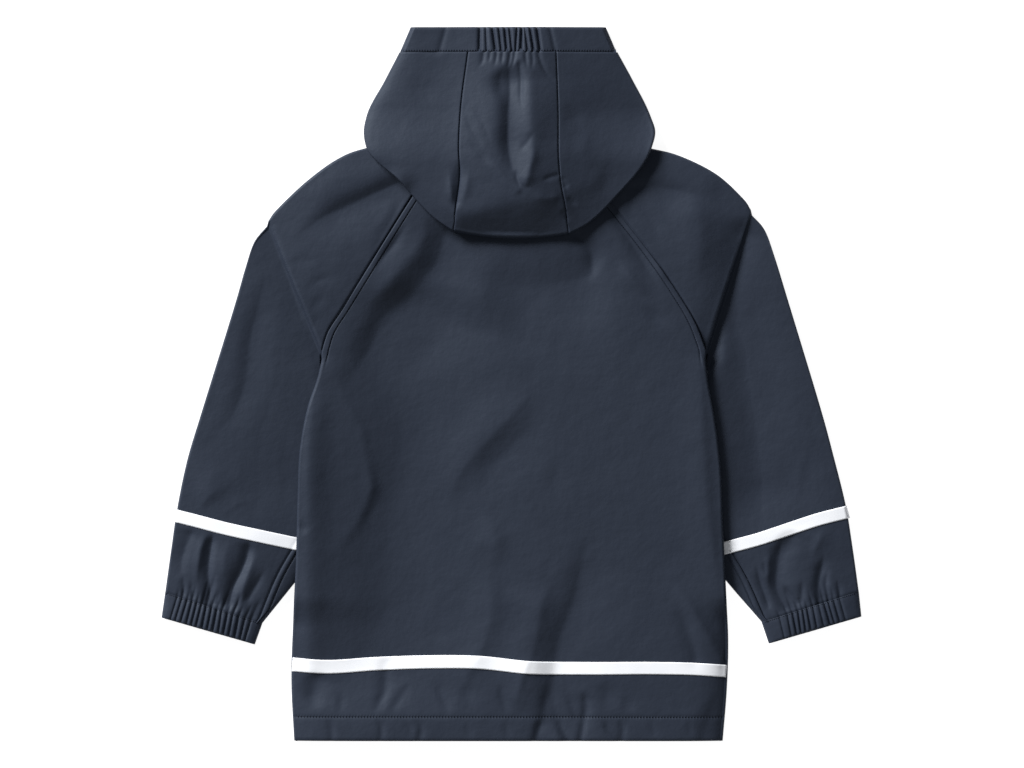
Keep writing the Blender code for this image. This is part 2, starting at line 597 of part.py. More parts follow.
def make_cuff(side):
    """A cuff's casing: a flat tube whose top is gathered by the elastic inside."""
    seam, opening = np.array(CUFF_PLAN[side])
    waves, first, last = CUFF_GATHERS[side]
    radius = CUFF_EDGE / 2
    rows = []
    for share, gathered, height in CUFF_ROWS:
        line = seam + (opening - seam) * share
        width = float(np.linalg.norm(line[:2] - line[2:]))
        along = (line[:2] - line[2:]) / width
        ring = []
        for t in np.linspace(0.0, 1.0, 4 * waves + 9):
            phase = (t - first) / (last - first)
            inside = float(soft_step(-0.02, 0.04, phase) * soft_step(-0.02, 0.04, 1.0 - phase))
            wave = CUFF_WAVE * gathered * inside * math.cos(2.0 * math.pi * waves * phase)
            crown = (height - CUFF_EDGE) * math.sin(math.pi * t) ** 0.6
            ring.append((radius + (width - CUFF_EDGE) * t, CUFF_EDGE + crown + wave))
        for angle in np.radians((45.0, 90.0, 135.0)):
            ring.append((width - radius + radius * math.sin(angle), radius * (1.0 + math.cos(angle))))
        for t in np.linspace(0.0, 1.0, 7):
            ring.append((width - radius - (width - CUFF_EDGE) * t, 0.0))
        for angle in np.radians((45.0, 90.0, 135.0)):
            ring.append((radius * (1.0 - math.sin(angle)), radius * (1.0 - math.cos(angle))))
        rows.append([(*(line[2:] + along * s), z) for s, z in ring])
    points = np.array(rows)
    if side == "right":
        points = points[:, ::-1]
    return wall("cuff_" + side, points, ring=True)


def make_front(side):
    """One front: flat beneath the back, over the sleeve at its side, past the centre line by the overlap."""
    out = -1.0 if side == "left" else 1.0
    rows = []
    for y in FRONT_ROWS:
        below = turned_under(y)
        edge = float(edge_x(side, y)) - out * (below * (SIDE_TURN + GAP) + GAP)
        centre = -out * FRONT_OVERLAP / 2
        lift = FRONT_LIFT if side == "left" else 0.0
        rows.append([])
        for share in FRONT_SHARES:
            x = edge + (centre - edge) * share
            over = lift * float(soft_step(*(-FRONT_OVERLAP / 2 - step for step in FRONT_STEP), x))
            rows[-1].append((x, y, float(rest_height(x, y)) + over))
    points = np.array(rows)
    neck = np.interp(points[..., 0], *zip(*FRONT_NECK))
    room = soft_step(FRONT_EASE, NECK_LINE, points[..., 1])
    points[..., 1] += room * (np.minimum(neck, NECK_LINE) - GAP - NECK_LINE)
    if side == "right":
        points = points[:, ::-1]
    return wall("front_" + side, points[:, ::-1])


def hood_rim(y):
    """The height of the hood's outer face just inside its rolled edge, which steps up onto the shoulders."""
    return HOOD_EDGE + HOOD_BASE * soft_step(*HOOD_STEP, y)


def hood_top(x, y):
    """The height of the hood's outer face at (x, y)."""
    left = curve(HOOD_OUTLINE["left"])(np.linspace(0.0, 1.0, 40))
    right = curve(HOOD_OUTLINE["right"])(np.linspace(0.0, 1.0, 40))
    away, _ = path_distance(np.vstack([left, right[::-1]]), x, y)
    crown = BRIM_CROWN + (HOOD_CROWN - BRIM_CROWN) * soft_step(*HOOD_SLOPE, y)
    rim = hood_rim(np.asarray(y, float))
    return crown - (crown - rim) * np.exp(-away / HOOD_REACH) + fold_height(HOOD_FOLDS, x, y)


def make_hood_side(side):
    """A side panel: from its seam over to the rolled edge, then back beneath to the face or the neck."""
    out = -1.0 if side == "left" else 1.0
    seam = curve(HOOD_SEAM[side])
    outline = curve(HOOD_OUTLINE[side])
    rows = []
    for seam_share, outline_share, end_x, end_y in HOOD_ROWS:
        start = seam(seam_share)[0] + np.array([out * GAP, 0.0])
        rim_point = outline(outline_share)[0] + np.array([out * 2.0 * GAP, 0.0])
        end = np.array([HOOD_MIDDLE + out * end_x, end_y])
        width = float(np.linalg.norm(rim_point - start))
        along = (rim_point - start) / width
        low = float(hood_rim(rim_point[1])) - HOOD_EDGE
        radius = HOOD_EDGE / 2
        spots = [start + along * (width - radius) * share for share in HOOD_TOP_SHARES]
        row = [(*spot, float(hood_top(*spot))) for spot in spots]
        height = row[-1][2] - low
        for angle in (45.0, 90.0, 135.0):
            spot = start + along * (width - radius + radius * math.sin(math.radians(angle)))
            row.append((*spot, low + height / 2 * (1.0 + math.cos(math.radians(angle)))))
        bottom = start + along * (width - radius)
        for share in HOOD_UNDER_SHARES:
            row.append((*(bottom + (end - bottom) * share), low))
        rows.append(row)
    points = np.array(rows)
    if side == "right":
        points = points[:, ::-1]
    panel = wall("hood_" + side, points)
    flap = plate("hood_flap_" + side, flap_outline(side), FLAP_LOW, FLAP_HIGH)
    join(panel, flap)
    return panel


def flap_outline(side):
    """The side panel's stretch beneath the hood, between the face opening, the centre line and the neck."""
    out = -1.0 if side == "left" else 1.0
    rim = curve(HOOD_OUTLINE[side])(np.linspace(*FLAP_RIM, 8)) - np.array([out * FLAP_INSET, 0.0])
    neck = [(x - out * NECK_ROOM, y + 2.0 * NECK_ROOM) for x, y in FRONT_NECK if x * out > 1.0]
    if side == "right":
        neck = neck[::-1]
    center = FLAP_CENTER * out
    slope = (BRIM_SEAM - FLAP_APEX) / abs(BRIM_CORNER[side][0] + out * BRIM_FLARE)
    face = [(center, FLAP_APEX), (rim[0][0] - out, BRIM_SEAM - slope * FLAP_FACE)]
    outline = [tuple(p) for p in rim] + neck + [(center, FRONT_NECK[4][1] + 2.0 * NECK_ROOM)] + face
    return outline if side == "left" else outline[::-1]


def make_hood_center():
    """The centre strip: from the brim down over the back of the head, round the lower edge, to the neck."""
    left = curve(HOOD_SEAM["left"])
    right = curve(HOOD_SEAM["right"])
    rows = []
    shares = np.linspace(0.0, 1.0, CENTER_ROWS)
    for share in shares:
        start = right(share)[0] - np.array([GAP / 2, 0.0])
        end = left(share)[0] + np.array([GAP / 2, 0.0])
        row = []
        for across in np.linspace(0.0, 1.0, CENTER_ACROSS):
            x, y = start + (end - start) * across
            y -= HOOD_SAG * share**4 * 4.0 * across * (1.0 - across)
            row.append((x, y, float(hood_top(x, y))))
        rows.append(row)
    edge_row = rows[-1]
    radius = HOOD_EDGE / 2
    for angle in (45.0, 90.0, 135.0):
        rows.append([(x, y - radius * math.sin(math.radians(angle)),
                      HOOD_BASE + (z - HOOD_BASE) / 2 * (1.0 + math.cos(math.radians(angle))))
                     for x, y, z in edge_row])
    for share in HOOD_RETURN:
        rows.append([(x, y + (neck_y(x) - y) * share, HOOD_BASE) for x, y, z in edge_row])
    rows.append([(x, neck_y(x) + GAP, NECK_CROWN + HOOD_SEAM_RISE) for x, y, z in edge_row])
    return wall("hood_center", np.array(rows))


def make_brim():
    """The brim's casing: across the top, folded under at both corners, to the middle below."""
    rows = []
    for x in np.linspace(0.0, 1.0, BRIM_UNDER):
        rows.append(("under", "left", x))
    for angle in (135.0, 90.0, 45.0):
        rows.append(("turn", "left", angle))
    for x in BRIM_TOP_X:
        rows.append(("top", "", x))
    for angle in (45.0, 90.0, 135.0):
        rows.append(("turn", "right", angle))
    for x in np.linspace(1.0, 0.0, BRIM_UNDER):
        rows.append(("under", "right", x))
    points = []
    for kind, side, value in rows:
        row = []
        for across in np.linspace(0.0, 1.0, BRIM_ACROSS):
            if kind == "top":
                y = BRIM_SEAM + GAP + (BRIM_TOP - BRIM_SEAM - GAP) * across
                row.append((brim_x(value, across), y, brim_height(value, across)))
                continue
            out = -1.0 if side == "left" else 1.0
            free = np.array(BRIM_CORNER[side])
            sewn = np.array([free[0] + out * BRIM_FLARE, BRIM_SEAM + GAP])
            fold = sewn + (free - sewn) * across
            radius = BRIM_EDGE / 2
            if kind == "turn":
                x = fold[0] - out * radius * (1.0 - math.sin(math.radians(value)))
                row.append((x, fold[1], radius * (1.0 + math.cos(math.radians(value)))))
            else:
                low = np.array([out * BRIM_CENTER, FLAP_APEX + across * (OPENING_APEX - FLAP_APEX)])
                high = fold - np.array([out * radius, 0.0])
                row.append((*(low + (high - low) * value), 0.0))
        points.append(row)
    return wall("hood_brim", np.array(points)[::-1], thickness=BRIM_THICKNESS)


def brim_x(share, across):
    """Where a share of the brim's length lies, between its two corners."""
    left = BRIM_CORNER["left"][0] - BRIM_FLARE * (1.0 - across) + BRIM_EDGE / 2
    right = BRIM_CORNER["right"][0] + BRIM_FLARE * (1.0 - across) - BRIM_EDGE / 2
    return left + (right - left) * share


def brim_height(share, across):
    x = brim_x(share, across)
    first, last = BRIM_GATHERED
    phase = (x - first) / (last - first)
    gathered = float(soft_step(-0.03, 0.05, phase) * soft_step(-0.03, 0.05, 1.0 - phase))
    wave = BRIM_WAVE * gathered * math.cos(2.0 * math.pi * BRIM_GATHERS * phase)
    return BRIM_EDGE + (BRIM_CROWN - BRIM_EDGE) * math.sin(math.pi * share) ** 0.8 + wave


for old in list(bpy.data.objects):
    bpy.data.objects.remove(old, do_unlink=True)

back = back_grid()
wall("back_panel", back)
make_tape("body", back)
for name in ("left", "right"):
    make_front(name)
    sleeve = sleeve_grid(name)
    layers = (sleeve[:, :FOLD_COLUMN], sleeve[:, FOLD_COLUMN:])
    upper, under = layers if name == "left" else layers[::-1]
    wall("sleeve_" + name, upper)
    wall("sleeve_under_" + name, under)
    make_tape("sleeve_" + name, sleeve)
    make_cuff(name)
    make_hood_side(name)
make_hood_center()
make_brim()
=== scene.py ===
"""A child's hooded raincoat of coated cloth, lying face down with its back up: the looks of every piece.

The coat lies on z = 0 with +Y towards the hood. Sizes in the sections are millimetres unless they say so.
"""

import math

import bmesh
import bpy
import numpy as np
from mathutils import Matrix, Vector
from mathutils.bvhtree import BVHTree


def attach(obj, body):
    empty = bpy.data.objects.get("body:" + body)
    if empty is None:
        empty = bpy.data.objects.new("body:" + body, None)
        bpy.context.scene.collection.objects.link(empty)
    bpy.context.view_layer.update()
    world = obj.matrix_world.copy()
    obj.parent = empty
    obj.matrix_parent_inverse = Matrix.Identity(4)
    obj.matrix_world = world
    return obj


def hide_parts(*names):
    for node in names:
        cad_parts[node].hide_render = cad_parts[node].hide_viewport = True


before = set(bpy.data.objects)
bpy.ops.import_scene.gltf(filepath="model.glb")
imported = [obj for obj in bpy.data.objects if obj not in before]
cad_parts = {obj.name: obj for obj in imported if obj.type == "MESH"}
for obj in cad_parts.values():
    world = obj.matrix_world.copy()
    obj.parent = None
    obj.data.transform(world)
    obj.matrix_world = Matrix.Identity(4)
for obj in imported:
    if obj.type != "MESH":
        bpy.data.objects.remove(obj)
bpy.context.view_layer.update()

# ---------------------------------------------------------------------------------------------------------
# Sleeves. Each raglan sleeve is one piece of cloth, folded flat along its outer edge and closed by an
# underarm seam. Its cap lies on the shoulder; below a tuck, the arm is turned down under the body's side.

MM = 0.001
CLOTH = 1.0
UNDERARM = 30.0
OUTWARD = {"left": -1.0, "right": 1.0}
SIDE_EDGE = {
    "left": [(-195.8, -321.3), (-198.4, -266.4), (-196.7, -212.4), (-194.0, -158.4), (-192.6, -104.4),
             (-190.3, -57.6), (-183.2, -19.8), (-173.2, 11.0), (-170.6, 30.0)],
    "right": [(190.3, -321.3), (194.0, -275.4), (195.3, -230.4), (193.1, -185.4), (190.3, -122.4),
              (188.6, -76.5), (183.2, -31.5), (176.0, 11.0), (175.1, 30.0)],
}
RAGLAN_SEAM = {
    "left": [(-170.6, 30.0), (-166.4, 44.0), (-152.6, 66.6), (-128.2, 106.2), (-90.5, 166.5), (-68.0, 201.0)],
    "right": [(175.1, 30.0), (166.4, 53.0), (149.0, 82.8), (126.5, 115.2), (87.8, 164.7), (59.9, 201.0)],
}
# Sections across the sleeve from the neck to the cuff seam; the tuck lies between the sixth and the seventh.
CAP_SECTIONS = 6
SLEEVE_PLAN = {
    # outer x, outer y, inner x, inner y
    "left": [
        (-78.8, 222.3, -68.0, 201.0), (-131.0, 212.6, -90.5, 166.5), (-157.0, 202.6, -104.0, 144.0),
        (-185.0, 182.3, -131.0, 101.0), (-211.0, 157.6, -157.0, 60.0), (-218.9, 147.2, -170.6, 30.0),
        (-220.3, 142.2, -171.8, 24.5), (-231.8, 127.8, -170.5, 9.0), (-239.8, 104.4, -161.0, -16.0),
        (-250.7, 66.6, -146.0, -46.0), (-278.6, -23.4, -138.0, -92.7), (-292.1, -68.4, -148.1, -117.9),
        (-301.1, -111.6, -167.0, -143.1), (-306.4, -147.6, -193.1, -176.4), (-311.9, -187.2, -224.3, -215.2),
    ],
    "right": [
        (72.0, 222.3, 59.9, 201.0), (124.0, 212.6, 87.8, 164.7), (153.0, 205.0, 104.0, 144.0),
        (185.0, 188.8, 136.0, 101.0), (208.6, 167.2, 162.0, 60.0), (215.6, 157.0, 175.1, 30.0),
        (216.8, 152.0, 176.2, 24.5), (228.2, 138.6, 175.5, 8.0), (237.2, 114.3, 166.0, -16.0),
        (248.8, 76.5, 151.0, -46.0), (277.7, -18.9, 144.0, -92.7), (290.2, -64.8, 153.5, -116.1),
        (301.1, -108.9, 169.7, -148.5), (307.4, -147.6, 194.0, -178.2), (312.8, -186.3, 225.1, -214.0),
    ],
}
SLEEVE_HEIGHT = [
    # outer edge, crown, inner end, underarm seam in from the inner end
    (7.0, 11.5, 12.5, 0.0), (7.0, 11.5, 12.5, 0.0), (7.0, 12.0, 12.5, 0.0), (7.0, 12.5, 12.5, 0.0),
    (7.0, 12.5, 12.5, 0.0), (7.0, 12.5, 12.5, 0.0), (6.2, 7.6, 5.6, 0.8), (6.2, 8.0, 5.6, 4.0),
    (6.2, 8.4, 5.6, 9.0), (6.2, 8.8, 5.6, 16.0), (6.2, 9.2, 5.6, 24.0), (6.2, 9.4, 5.6, 26.0),
    (6.2, 9.4, 5.6, 24.0), (6.2, 9.6, 5.6, 18.0), (7.0, 10.0, 7.0, 4.0),
]
# The body presses an arm down at its edge to the first height, and to the second a little way out from there;
# beyond, the arm rises slowly.
UNDER_BODY = {"left": (6.2, 7.4), "right": (8.2, 3.8)}
PRESS_WIDE = 36.0
PRESS_SLOPE = 0.06
PRESS_END = (-140.0, -90.0)  # towards its cuff the arm comes free again
REST_HEIGHT = 8.3  # what the body rests on over an arm
# The cuffs' gathers, which run up into the sleeve: place along the cuff from its inner end, half width, depth,
# lean towards the outer edge over the cuff, and how far up the sleeve they run.
CUFF_LAP = 2.0
CUFF_PLAN = {
    # outer x, outer y, inner x, inner y, at the seam and at the opening
    "left": [(-312.0, -187.6, -224.4, -215.6), (-315.3, -210.4, -231.2, -234.6)],
    "right": [(312.9, -186.7, 225.2, -214.4), (315.3, -209.4, 231.8, -233.8)],
}
CUFF_GATHERS = {
    "left": [
        (10, 1.2, 1.3, 1, 8), (15, 1.1, 1.6, 2, 14), (20.5, 1.3, 2.0, 3, 10), (26, 1.1, 1.7, 3, 22),
        (31, 1.2, 1.9, 3, 12), (36, 1.1, 1.6, 4, 26), (41, 1.3, 2.0, 3, 10), (46, 1.1, 1.7, 3, 18),
        (51, 1.2, 1.9, 3, 12), (56, 1.1, 1.8, 2, 24), (60.5, 1.2, 1.8, 2, 10), (65, 1.2, 1.7, 2, 16),
        (70, 1.1, 1.6, 1, 9), (75, 1.1, 1.4, 1, 14), (79.5, 1.1, 1.2, 1, 7),
    ],
    "right": [
        (16, 1.1, 1.0, 2, 8), (23, 1.2, 1.5, 3, 12), (28, 1.2, 2.0, 3, 20), (32.5, 1.1, 2.0, 4, 9),
        (37, 1.1, 1.7, 4, 14), (41.5, 1.2, 1.9, 3, 8), (47, 1.1, 1.4, 3, 16), (53, 1.2, 1.2, 2, 10),
        (58.5, 1.2, 2.0, 1, 18), (62.5, 1.1, 1.6, 1, 8), (67.5, 1.2, 1.6, 1, 12), (73, 1.2, 1.0, 1, 7),
    ],
}
# Creases: half widths on the left and the right hand along the path, height (below zero they sink),
# sharpness, fade at their start and end, and their points. Most run down towards the hem or the cuff.
SLEEVE_CREASES = {
    "left": [
        (24, 9, -4.6, 1.8, 0, 0.5, [(-97, 182), (-117, 173), (-145, 160), (-172, 147), (-194, 130)]),
        (10, 10, 0.7, 2, 0.5, 0.5, [(-126, 194), (-163, 180), (-194, 160)]),
        (8, 7, 0.7, 1.8, 0.5, 0.5, [(-108, 169), (-111, 155), (-120, 137)]),
        (3, 7, -0.8, 1.7, 0.4, 0.5, [(-97, 169), (-111, 142), (-127, 115)]),
        (3.5, 4.5, -0.7, 1.6, 0.5, 0.5, [(-205, 108), (-190, 111), (-171, 110)]),
        (3.5, 4.5, -0.75, 1.6, 0.5, 0.5, [(-188, 86), (-174, 93), (-156, 95)]),
        (3, 4, -0.7, 1.6, 0.5, 0.5, [(-183, 69), (-172, 75), (-163, 76)]),
        (2.8, 3.5, -0.6, 1.6, 0.5, 0.5, [(-182, 52), (-176, 56), (-168, 56)]),
        (2, 20, -1.3, 1.8, 0, 0.5, [(-217, 142), (-202, 98), (-188, 56), (-176, 29)]),
        (26, 9, -2.5, 1.7, 0.4, 0.5, [
            (-219, 110), (-225, 76), (-234, 40), (-238, 4), (-247, -23), (-261, -43), (-282, -65)]),
        (14, 8, -1.7, 1.8, 0.5, 0.4, [(-228, -70), (-212, -90), (-194, -103)]),
        (18, 6, 2.1, 1.7, 0.4, 0.5, [(-284, -115), (-273, -101), (-257, -90), (-235, -86)]),
        (2.6, 2.2, 0.6, 1.6, 0.4, 0.5, [(-262, -117), (-244, -107), (-223, -99)]),
        (5, 7, -1.6, 1.6, 0.1, 0.5, [(-287, -131), (-293, -145), (-297, -158), (-298, -178)]),
        (4, 5, 1.69, 1.6, 0.3, 0.5, [(-273, -133), (-279, -146), (-282, -161), (-284, -183)]),
        (3.5, 5.5, -3.12, 1.5, 0.15, 0, [(-269, -134), (-271, -149), (-273, -165), (-272, -182), (-270, -198)]),
        (2.5, 2.5, -1.3, 1.5, 0.5, 0, [(-266, -169), (-270, -184), (-276, -197)]),
        (6, 6, 1.04, 1.7, 0.4, 0.5, [(-255, -140), (-258, -158), (-260, -180)]),
        (4, 6.5, -3.64, 1.5, 0.15, 0, [(-236, -141), (-238, -155), (-243, -168), (-250, -182), (-254, -197)]),
        (4.5, 4, 1.3, 1.6, 0.4, 0, [(-231, -154), (-237, -172), (-244, -193)]),
        (3.5, 4.5, -1.56, 1.5, 0.5, 0, [(-221, -166), (-228, -178), (-237, -193)]),
        (2.6, 2.6, -1.17, 1.5, 0.5, 0, [(-296, -172), (-295, -190)]),
        (2.4, 2.4, -1.17, 1.5, 0.5, 0, [(-289, -177), (-287, -192)]),
        (2.4, 2.4, -1.17, 1.5, 0.5, 0, [(-263, -185), (-266, -199)]),
        (2.4, 2.4, -1.04, 1.5, 0.5, 0, [(-244, -186), (-247, -201)]),
        (2.4, 2.4, -0.91, 1.5, 0.5, 0, [(-225, -193), (-234, -210)]),
    ],
    "right": [
        (8, 22, -2.4, 1.8, 0.15, 0.5, [(98, 175), (129, 176), (161, 170), (182, 165)]),
        (14, 24, 2.6, 1.9, 0.3, 0.5, [(160, 178), (167, 145), (167, 110), (165, 80)]),
        (20, 15, -3.6, 1.7, 0.15, 0, [(213, 152), (204, 120), (193, 85), (182, 52), (176, 28)]),
        (8, 6, -0.9, 1.7, 0.5, 0.5, [(112, 166), (125, 148), (135, 126)]),
        (10, 8, 0.7, 1.9, 0.5, 0.5, [(161, 198), (175, 182), (186, 164)]),
        (16, 16, 0.7, 2, 0.5, 0.5, [(234, 85), (242, 4), (236, -77)]),
        (12, 5, -1.7, 1.7, 0.5, 0.4, [(271, -49), (266, -76), (261, -110)]),
        (4, 5, -0.8, 1.6, 0.5, 0.5, [(258, -22), (270, -38), (285, -50)]),
        (3.5, 5, 1.2, 1.6, 0.4, 0.4, [(233, -149), (230, -167), (231, -186)]),
        (10, 6, -3.38, 1.6, 0.3, 0, [(246, -134), (242, -149), (239, -167), (239, -184), (246, -200)]),
        (3, 3.5, -1.82, 1.5, 0.5, 0, [(220, -161), (225, -181), (231, -198)]),
        (2.5, 2.5, -1.04, 1.5, 0.5, 0.4, [(227, -157), (229, -174)]),
        (2.6, 2.6, -1.69, 1.5, 0.4, 0, [(244, -181), (250, -189), (257, -197)]),
        (2.6, 3, -1.3, 1.5, 0.5, 0, [(262, -176), (261, -195)]),
        (10, 7, -1.43, 1.8, 0.3, 0.5, [(256, -131), (250, -143), (247, -155)]),
        (5, 5, 1.04, 1.6, 0.4, 0.5, [(283, -131), (275, -145), (269, -159)]),
        (5, 5, -2.86, 1.5, 0.4, 0, [(282, -152), (278, -171), (276, -185), (278, -196)]),
        (2.6, 3, -1.69, 1.5, 0.5, 0, [(285, -166), (283, -181), (286, -194)]),
        (2.4, 2.4, -1.17, 1.5, 0.5, 0, [(293, -176), (296, -190)]),
    ],
}
FAR = 1e9
FOLD = 0.5  # a fold is pressed to this share of a round one's width
SEAM_STEP = 5.4  # the felled underarm seam is this wide, and stands up this much
SEAM_RISE = 0.5
SEAM_SUNK = 1.5  # beside a raised seam the lower cloth sinks this far, over this width, and runs on beneath it
SEAM_SUNK_WIDE = 1.4
ALLOWANCE = np.array([-4.0, -2.4, -1.2, -0.4])  # points of the seam allowance, in from the seam
BESIDE_SEAM = np.array([0.1, 0.4, 0.8, 1.3, 1.9, 2.7, 4.0])
OVER_SLEEVE = 108
TOP_POINTS = len(ALLOWANCE) + len(BESIDE_SEAM) + OVER_SLEEVE
UNDER_SLEEVE = 24
ROUND_EDGE = np.radians(np.linspace(20.0, 160.0, 8))  # steps round a folded edge
HIDDEN_SEAM = -60.0  # above this height the underarm seam lies beneath the body


def bend(t, start, start_slope, end, end_slope):
    """A cubic that leaves its start and reaches its end at these slopes."""
    leaving = (2 * t**3 - 3 * t**2 + 1) * start + (t**3 - 2 * t**2 + t) * start_slope
    return leaving + (3 * t**2 - 2 * t**3) * end + (t**3 - t**2) * end_slope


def curve(points):
    """A smooth curve through the points, as a function of the share of its length."""
    knots = np.array(points, float)
    steps = np.linalg.norm(np.diff(knots, axis=0), axis=1)
    along = np.concatenate([[0.0], np.cumsum(steps)]) / steps.sum()
    slopes = np.gradient(knots, along, axis=0)

    def at(share):
        share = np.atleast_1d(np.asarray(share, float))
        left = np.clip(np.searchsorted(along, share, side="right") - 1, 0, len(along) - 2)
        length = (along[left + 1] - along[left])[:, None]
        t = ((share - along[left])[:, None]) / length
        return bend(t, knots[left], length * slopes[left], knots[left + 1], length * slopes[left + 1])

    return at


def soft_step(low, high, value):
    """0 below low, 1 above high, and an even rise between."""
    share = np.clip((np.asarray(value, float) - low) / (high - low), 0.0, 1.0)
    return share * share * (3.0 - 2.0 * share)


def beside_line(x, y, start, end):
    """How far (x, y) lies from a straight line between two points."""
    run = end - start
    part = np.clip(((x - start[0]) * run[0] + (y - start[1]) * run[1]) / (run @ run), 0.0, 1.0)
    return np.hypot(x - start[0] - part * run[0], y - start[1] - part * run[1])


def path_distance(points, x, y):
    """How far (x, y) lies from a path, and how far out on its left hand."""
    path = np.array(points, float)
    if len(points) > 2:
        path = curve(points)(np.linspace(0.0, 1.0, 6 * len(points)))
    nearest = np.full(x.shape, FAR)
    left = np.zeros(x.shape)
    for start, end in zip(path[:-1], path[1:]):
        away = beside_line(x, y, start, end)
        run = end - start
        beside = (run[0] * (y - start[1]) - run[1] * (x - start[0])) / math.hypot(*run)
        left = np.where(away < nearest, beside, left)
        nearest = np.minimum(nearest, away)
    return nearest, left


def creased(creases, x, y):
    """The height that soft creases add at (x, y)."""
    total = np.zeros(x.shape)
    for wide_left, wide_right, high, sharp, fade_in, fade_out, points in creases:
        corners = np.array(points, float)
        reach = 3.0 * max(wide_left, wide_right)
        low = corners.min(axis=0) - reach
        top = corners.max(axis=0) + reach
        near = (x > low[0]) & (x < top[0]) & (y > low[1]) & (y < top[1])
        if not near.any():
            continue
        away, left = path_distance(points, x[near], y[near])
        run = corners[-1] - corners[0]
        share = ((x[near] - corners[0, 0]) * run[0] + (y[near] - corners[0, 1]) * run[1]) / (run @ run)
        share = np.clip(share, 0.0, 1.0)
        fade = soft_step(-0.001, fade_in, share) * soft_step(-0.001, fade_out, 1.0 - share)
        turn = 0.4 * min(wide_left, wide_right)
        width = wide_right + (wide_left - wide_right) * soft_step(-turn, turn, left)
        width = width * (0.6 + 0.4 * fade)
        total[near] += high * fade * np.exp(-((away / width) ** sharp))
    return total


def edge_x(side, y):
    """Where the back ends at this height: its side edge, or its raglan seam above the underarm."""
    shares = np.linspace(0.0, 1.0, 120)
    line = np.vstack([curve(SIDE_EDGE[side])(shares), curve(RAGLAN_SEAM[side])(shares)[1:]])
    return np.interp(y, line[:, 1], line[:, 0])


def sleeve_rows(side):
    """The sections of a sleeve about 2.2 mm apart: plan and heights, and whether each is of the cap."""
    table = np.hstack([np.array(SLEEVE_PLAN[side]), np.array(SLEEVE_HEIGHT)])
    found = []
    for first, last in ((0, CAP_SECTIONS), (CAP_SECTIONS, len(table))):
        part = table[first:last]
        slopes = np.gradient(part, axis=0)
        for k in range(len(part) - 1):
            steps = max(2, round(float(np.linalg.norm(part[k + 1, :2] - part[k, :2])) / 2.3))
            end = 1 if k == len(part) - 2 else 0
            for t in np.arange(steps + end) / steps:
                row = bend(t, part[k], slopes[k], part[k + 1], slopes[k + 1])
                if first == 0:
                    row[2] = edge_x(side, row[3])
                found.append((row, 1.0 if first == 0 else 0.0))
        if first == 0:
            for t in np.linspace(0.0, 1.0, 9)[1:-1]:
                row = table[last - 1] + (table[last] - table[last - 1]) * t
                row[4:7] = table[last - 1, 4:7] + (table[last, 4:7] - table[last - 1, 4:7]) * soft_step(0, 1, t)
                found.append((row, 1.0 - t))
    return found


def sleeve_ring(row, cap):
    """Points round one section: over the top from the inner end, round the outer edge and back beneath."""
    outer = row[0:2]
    inner = row[2:4]
    edge, crown, inner_height, seam_in = row[4:8]
    width = float(np.linalg.norm(outer - inner))
    along = (outer - inner) / width
    radius = edge / 2
    hidden = cap > 0.0 or inner[1] > HIDDEN_SEAM
    start = 0.0 if hidden else 0.15 + seam_in

    def top(s):
        share = np.clip(s / width, 0.0, 1.0)
        peak = crown - (inner_height + edge) / 2
        return inner_height + (edge - inner_height) * share + peak * np.sin(math.pi * share)

    far = np.linspace(5.6, width - FOLD * radius - start, OVER_SLEEVE)
    s_top = start + np.concatenate([ALLOWANCE if hidden else 0.02 * ALLOWANCE, BESIDE_SEAM, far])
    sunk = SEAM_SUNK if hidden else 0.8
    z_top = top(s_top) - sunk * np.exp(-((np.clip(s_top - start, 0.0, None) / SEAM_SUNK_WIDE) ** 2))
    s_turn = width - radius + radius * np.sin(ROUND_EDGE)
    s_turn = width - FOLD * (width - s_turn)
    z_turn = radius * (1.0 + np.cos(ROUND_EDGE))
    inner_radius = inner_height / 2
    bottom_end = 20.0 if cap == 1.0 else inner_radius
    s_bottom = np.linspace(width - radius, bottom_end, UNDER_SLEEVE)
    if cap > 0.0:
        share = np.linspace(0.0, 1.0, 15)[1:]
        s_in = 20.0 + (1.3 - 20.0) * share
        z_in = float(rest_height(inner[0], inner[1])) * share * share * (0.8 if inner[1] < 34.0 else 1.0)
        if cap < 1.0:
            z_in = z_in * cap
            s_bottom = np.linspace(width - radius, 20.0, UNDER_SLEEVE)
    elif inner[1] > HIDDEN_SEAM:
        angle = np.radians(np.linspace(0.0, 105.0, 15)[1:])
        s_in = inner_radius * (1.0 - np.sin(angle))
        z_in = inner_radius * (1.0 - np.cos(angle))
    else:
        angle = np.radians(np.linspace(0.0, 160.0, 8)[1:])
        s_round = inner_radius * (1.0 - np.sin(angle))
        z_round = inner_radius * (1.0 - np.cos(angle))
        back = start - np.array([7.4, SEAM_STEP + 0.5, SEAM_STEP, SEAM_STEP - 0.5, 3.0, 0.9, 0.2])
        back = np.maximum(back, s_round[-1] + 0.4 * np.arange(1, 8))
        z_back = top(back) + SEAM_RISE * np.array([0.0, -0.2, -2.0, 0.8, 1.0, 0.8, -1.0])
        s_in = np.concatenate([s_round, back])
        z_in = np.concatenate([z_round, z_back])
    s = np.concatenate([s_top, s_turn, s_bottom, s_in])
    z = np.concatenate([z_top, z_turn, np.zeros(UNDER_SLEEVE), z_in])
    return np.column_stack([inner[0] + along[0] * s, inner[1] + along[1] * s, z])


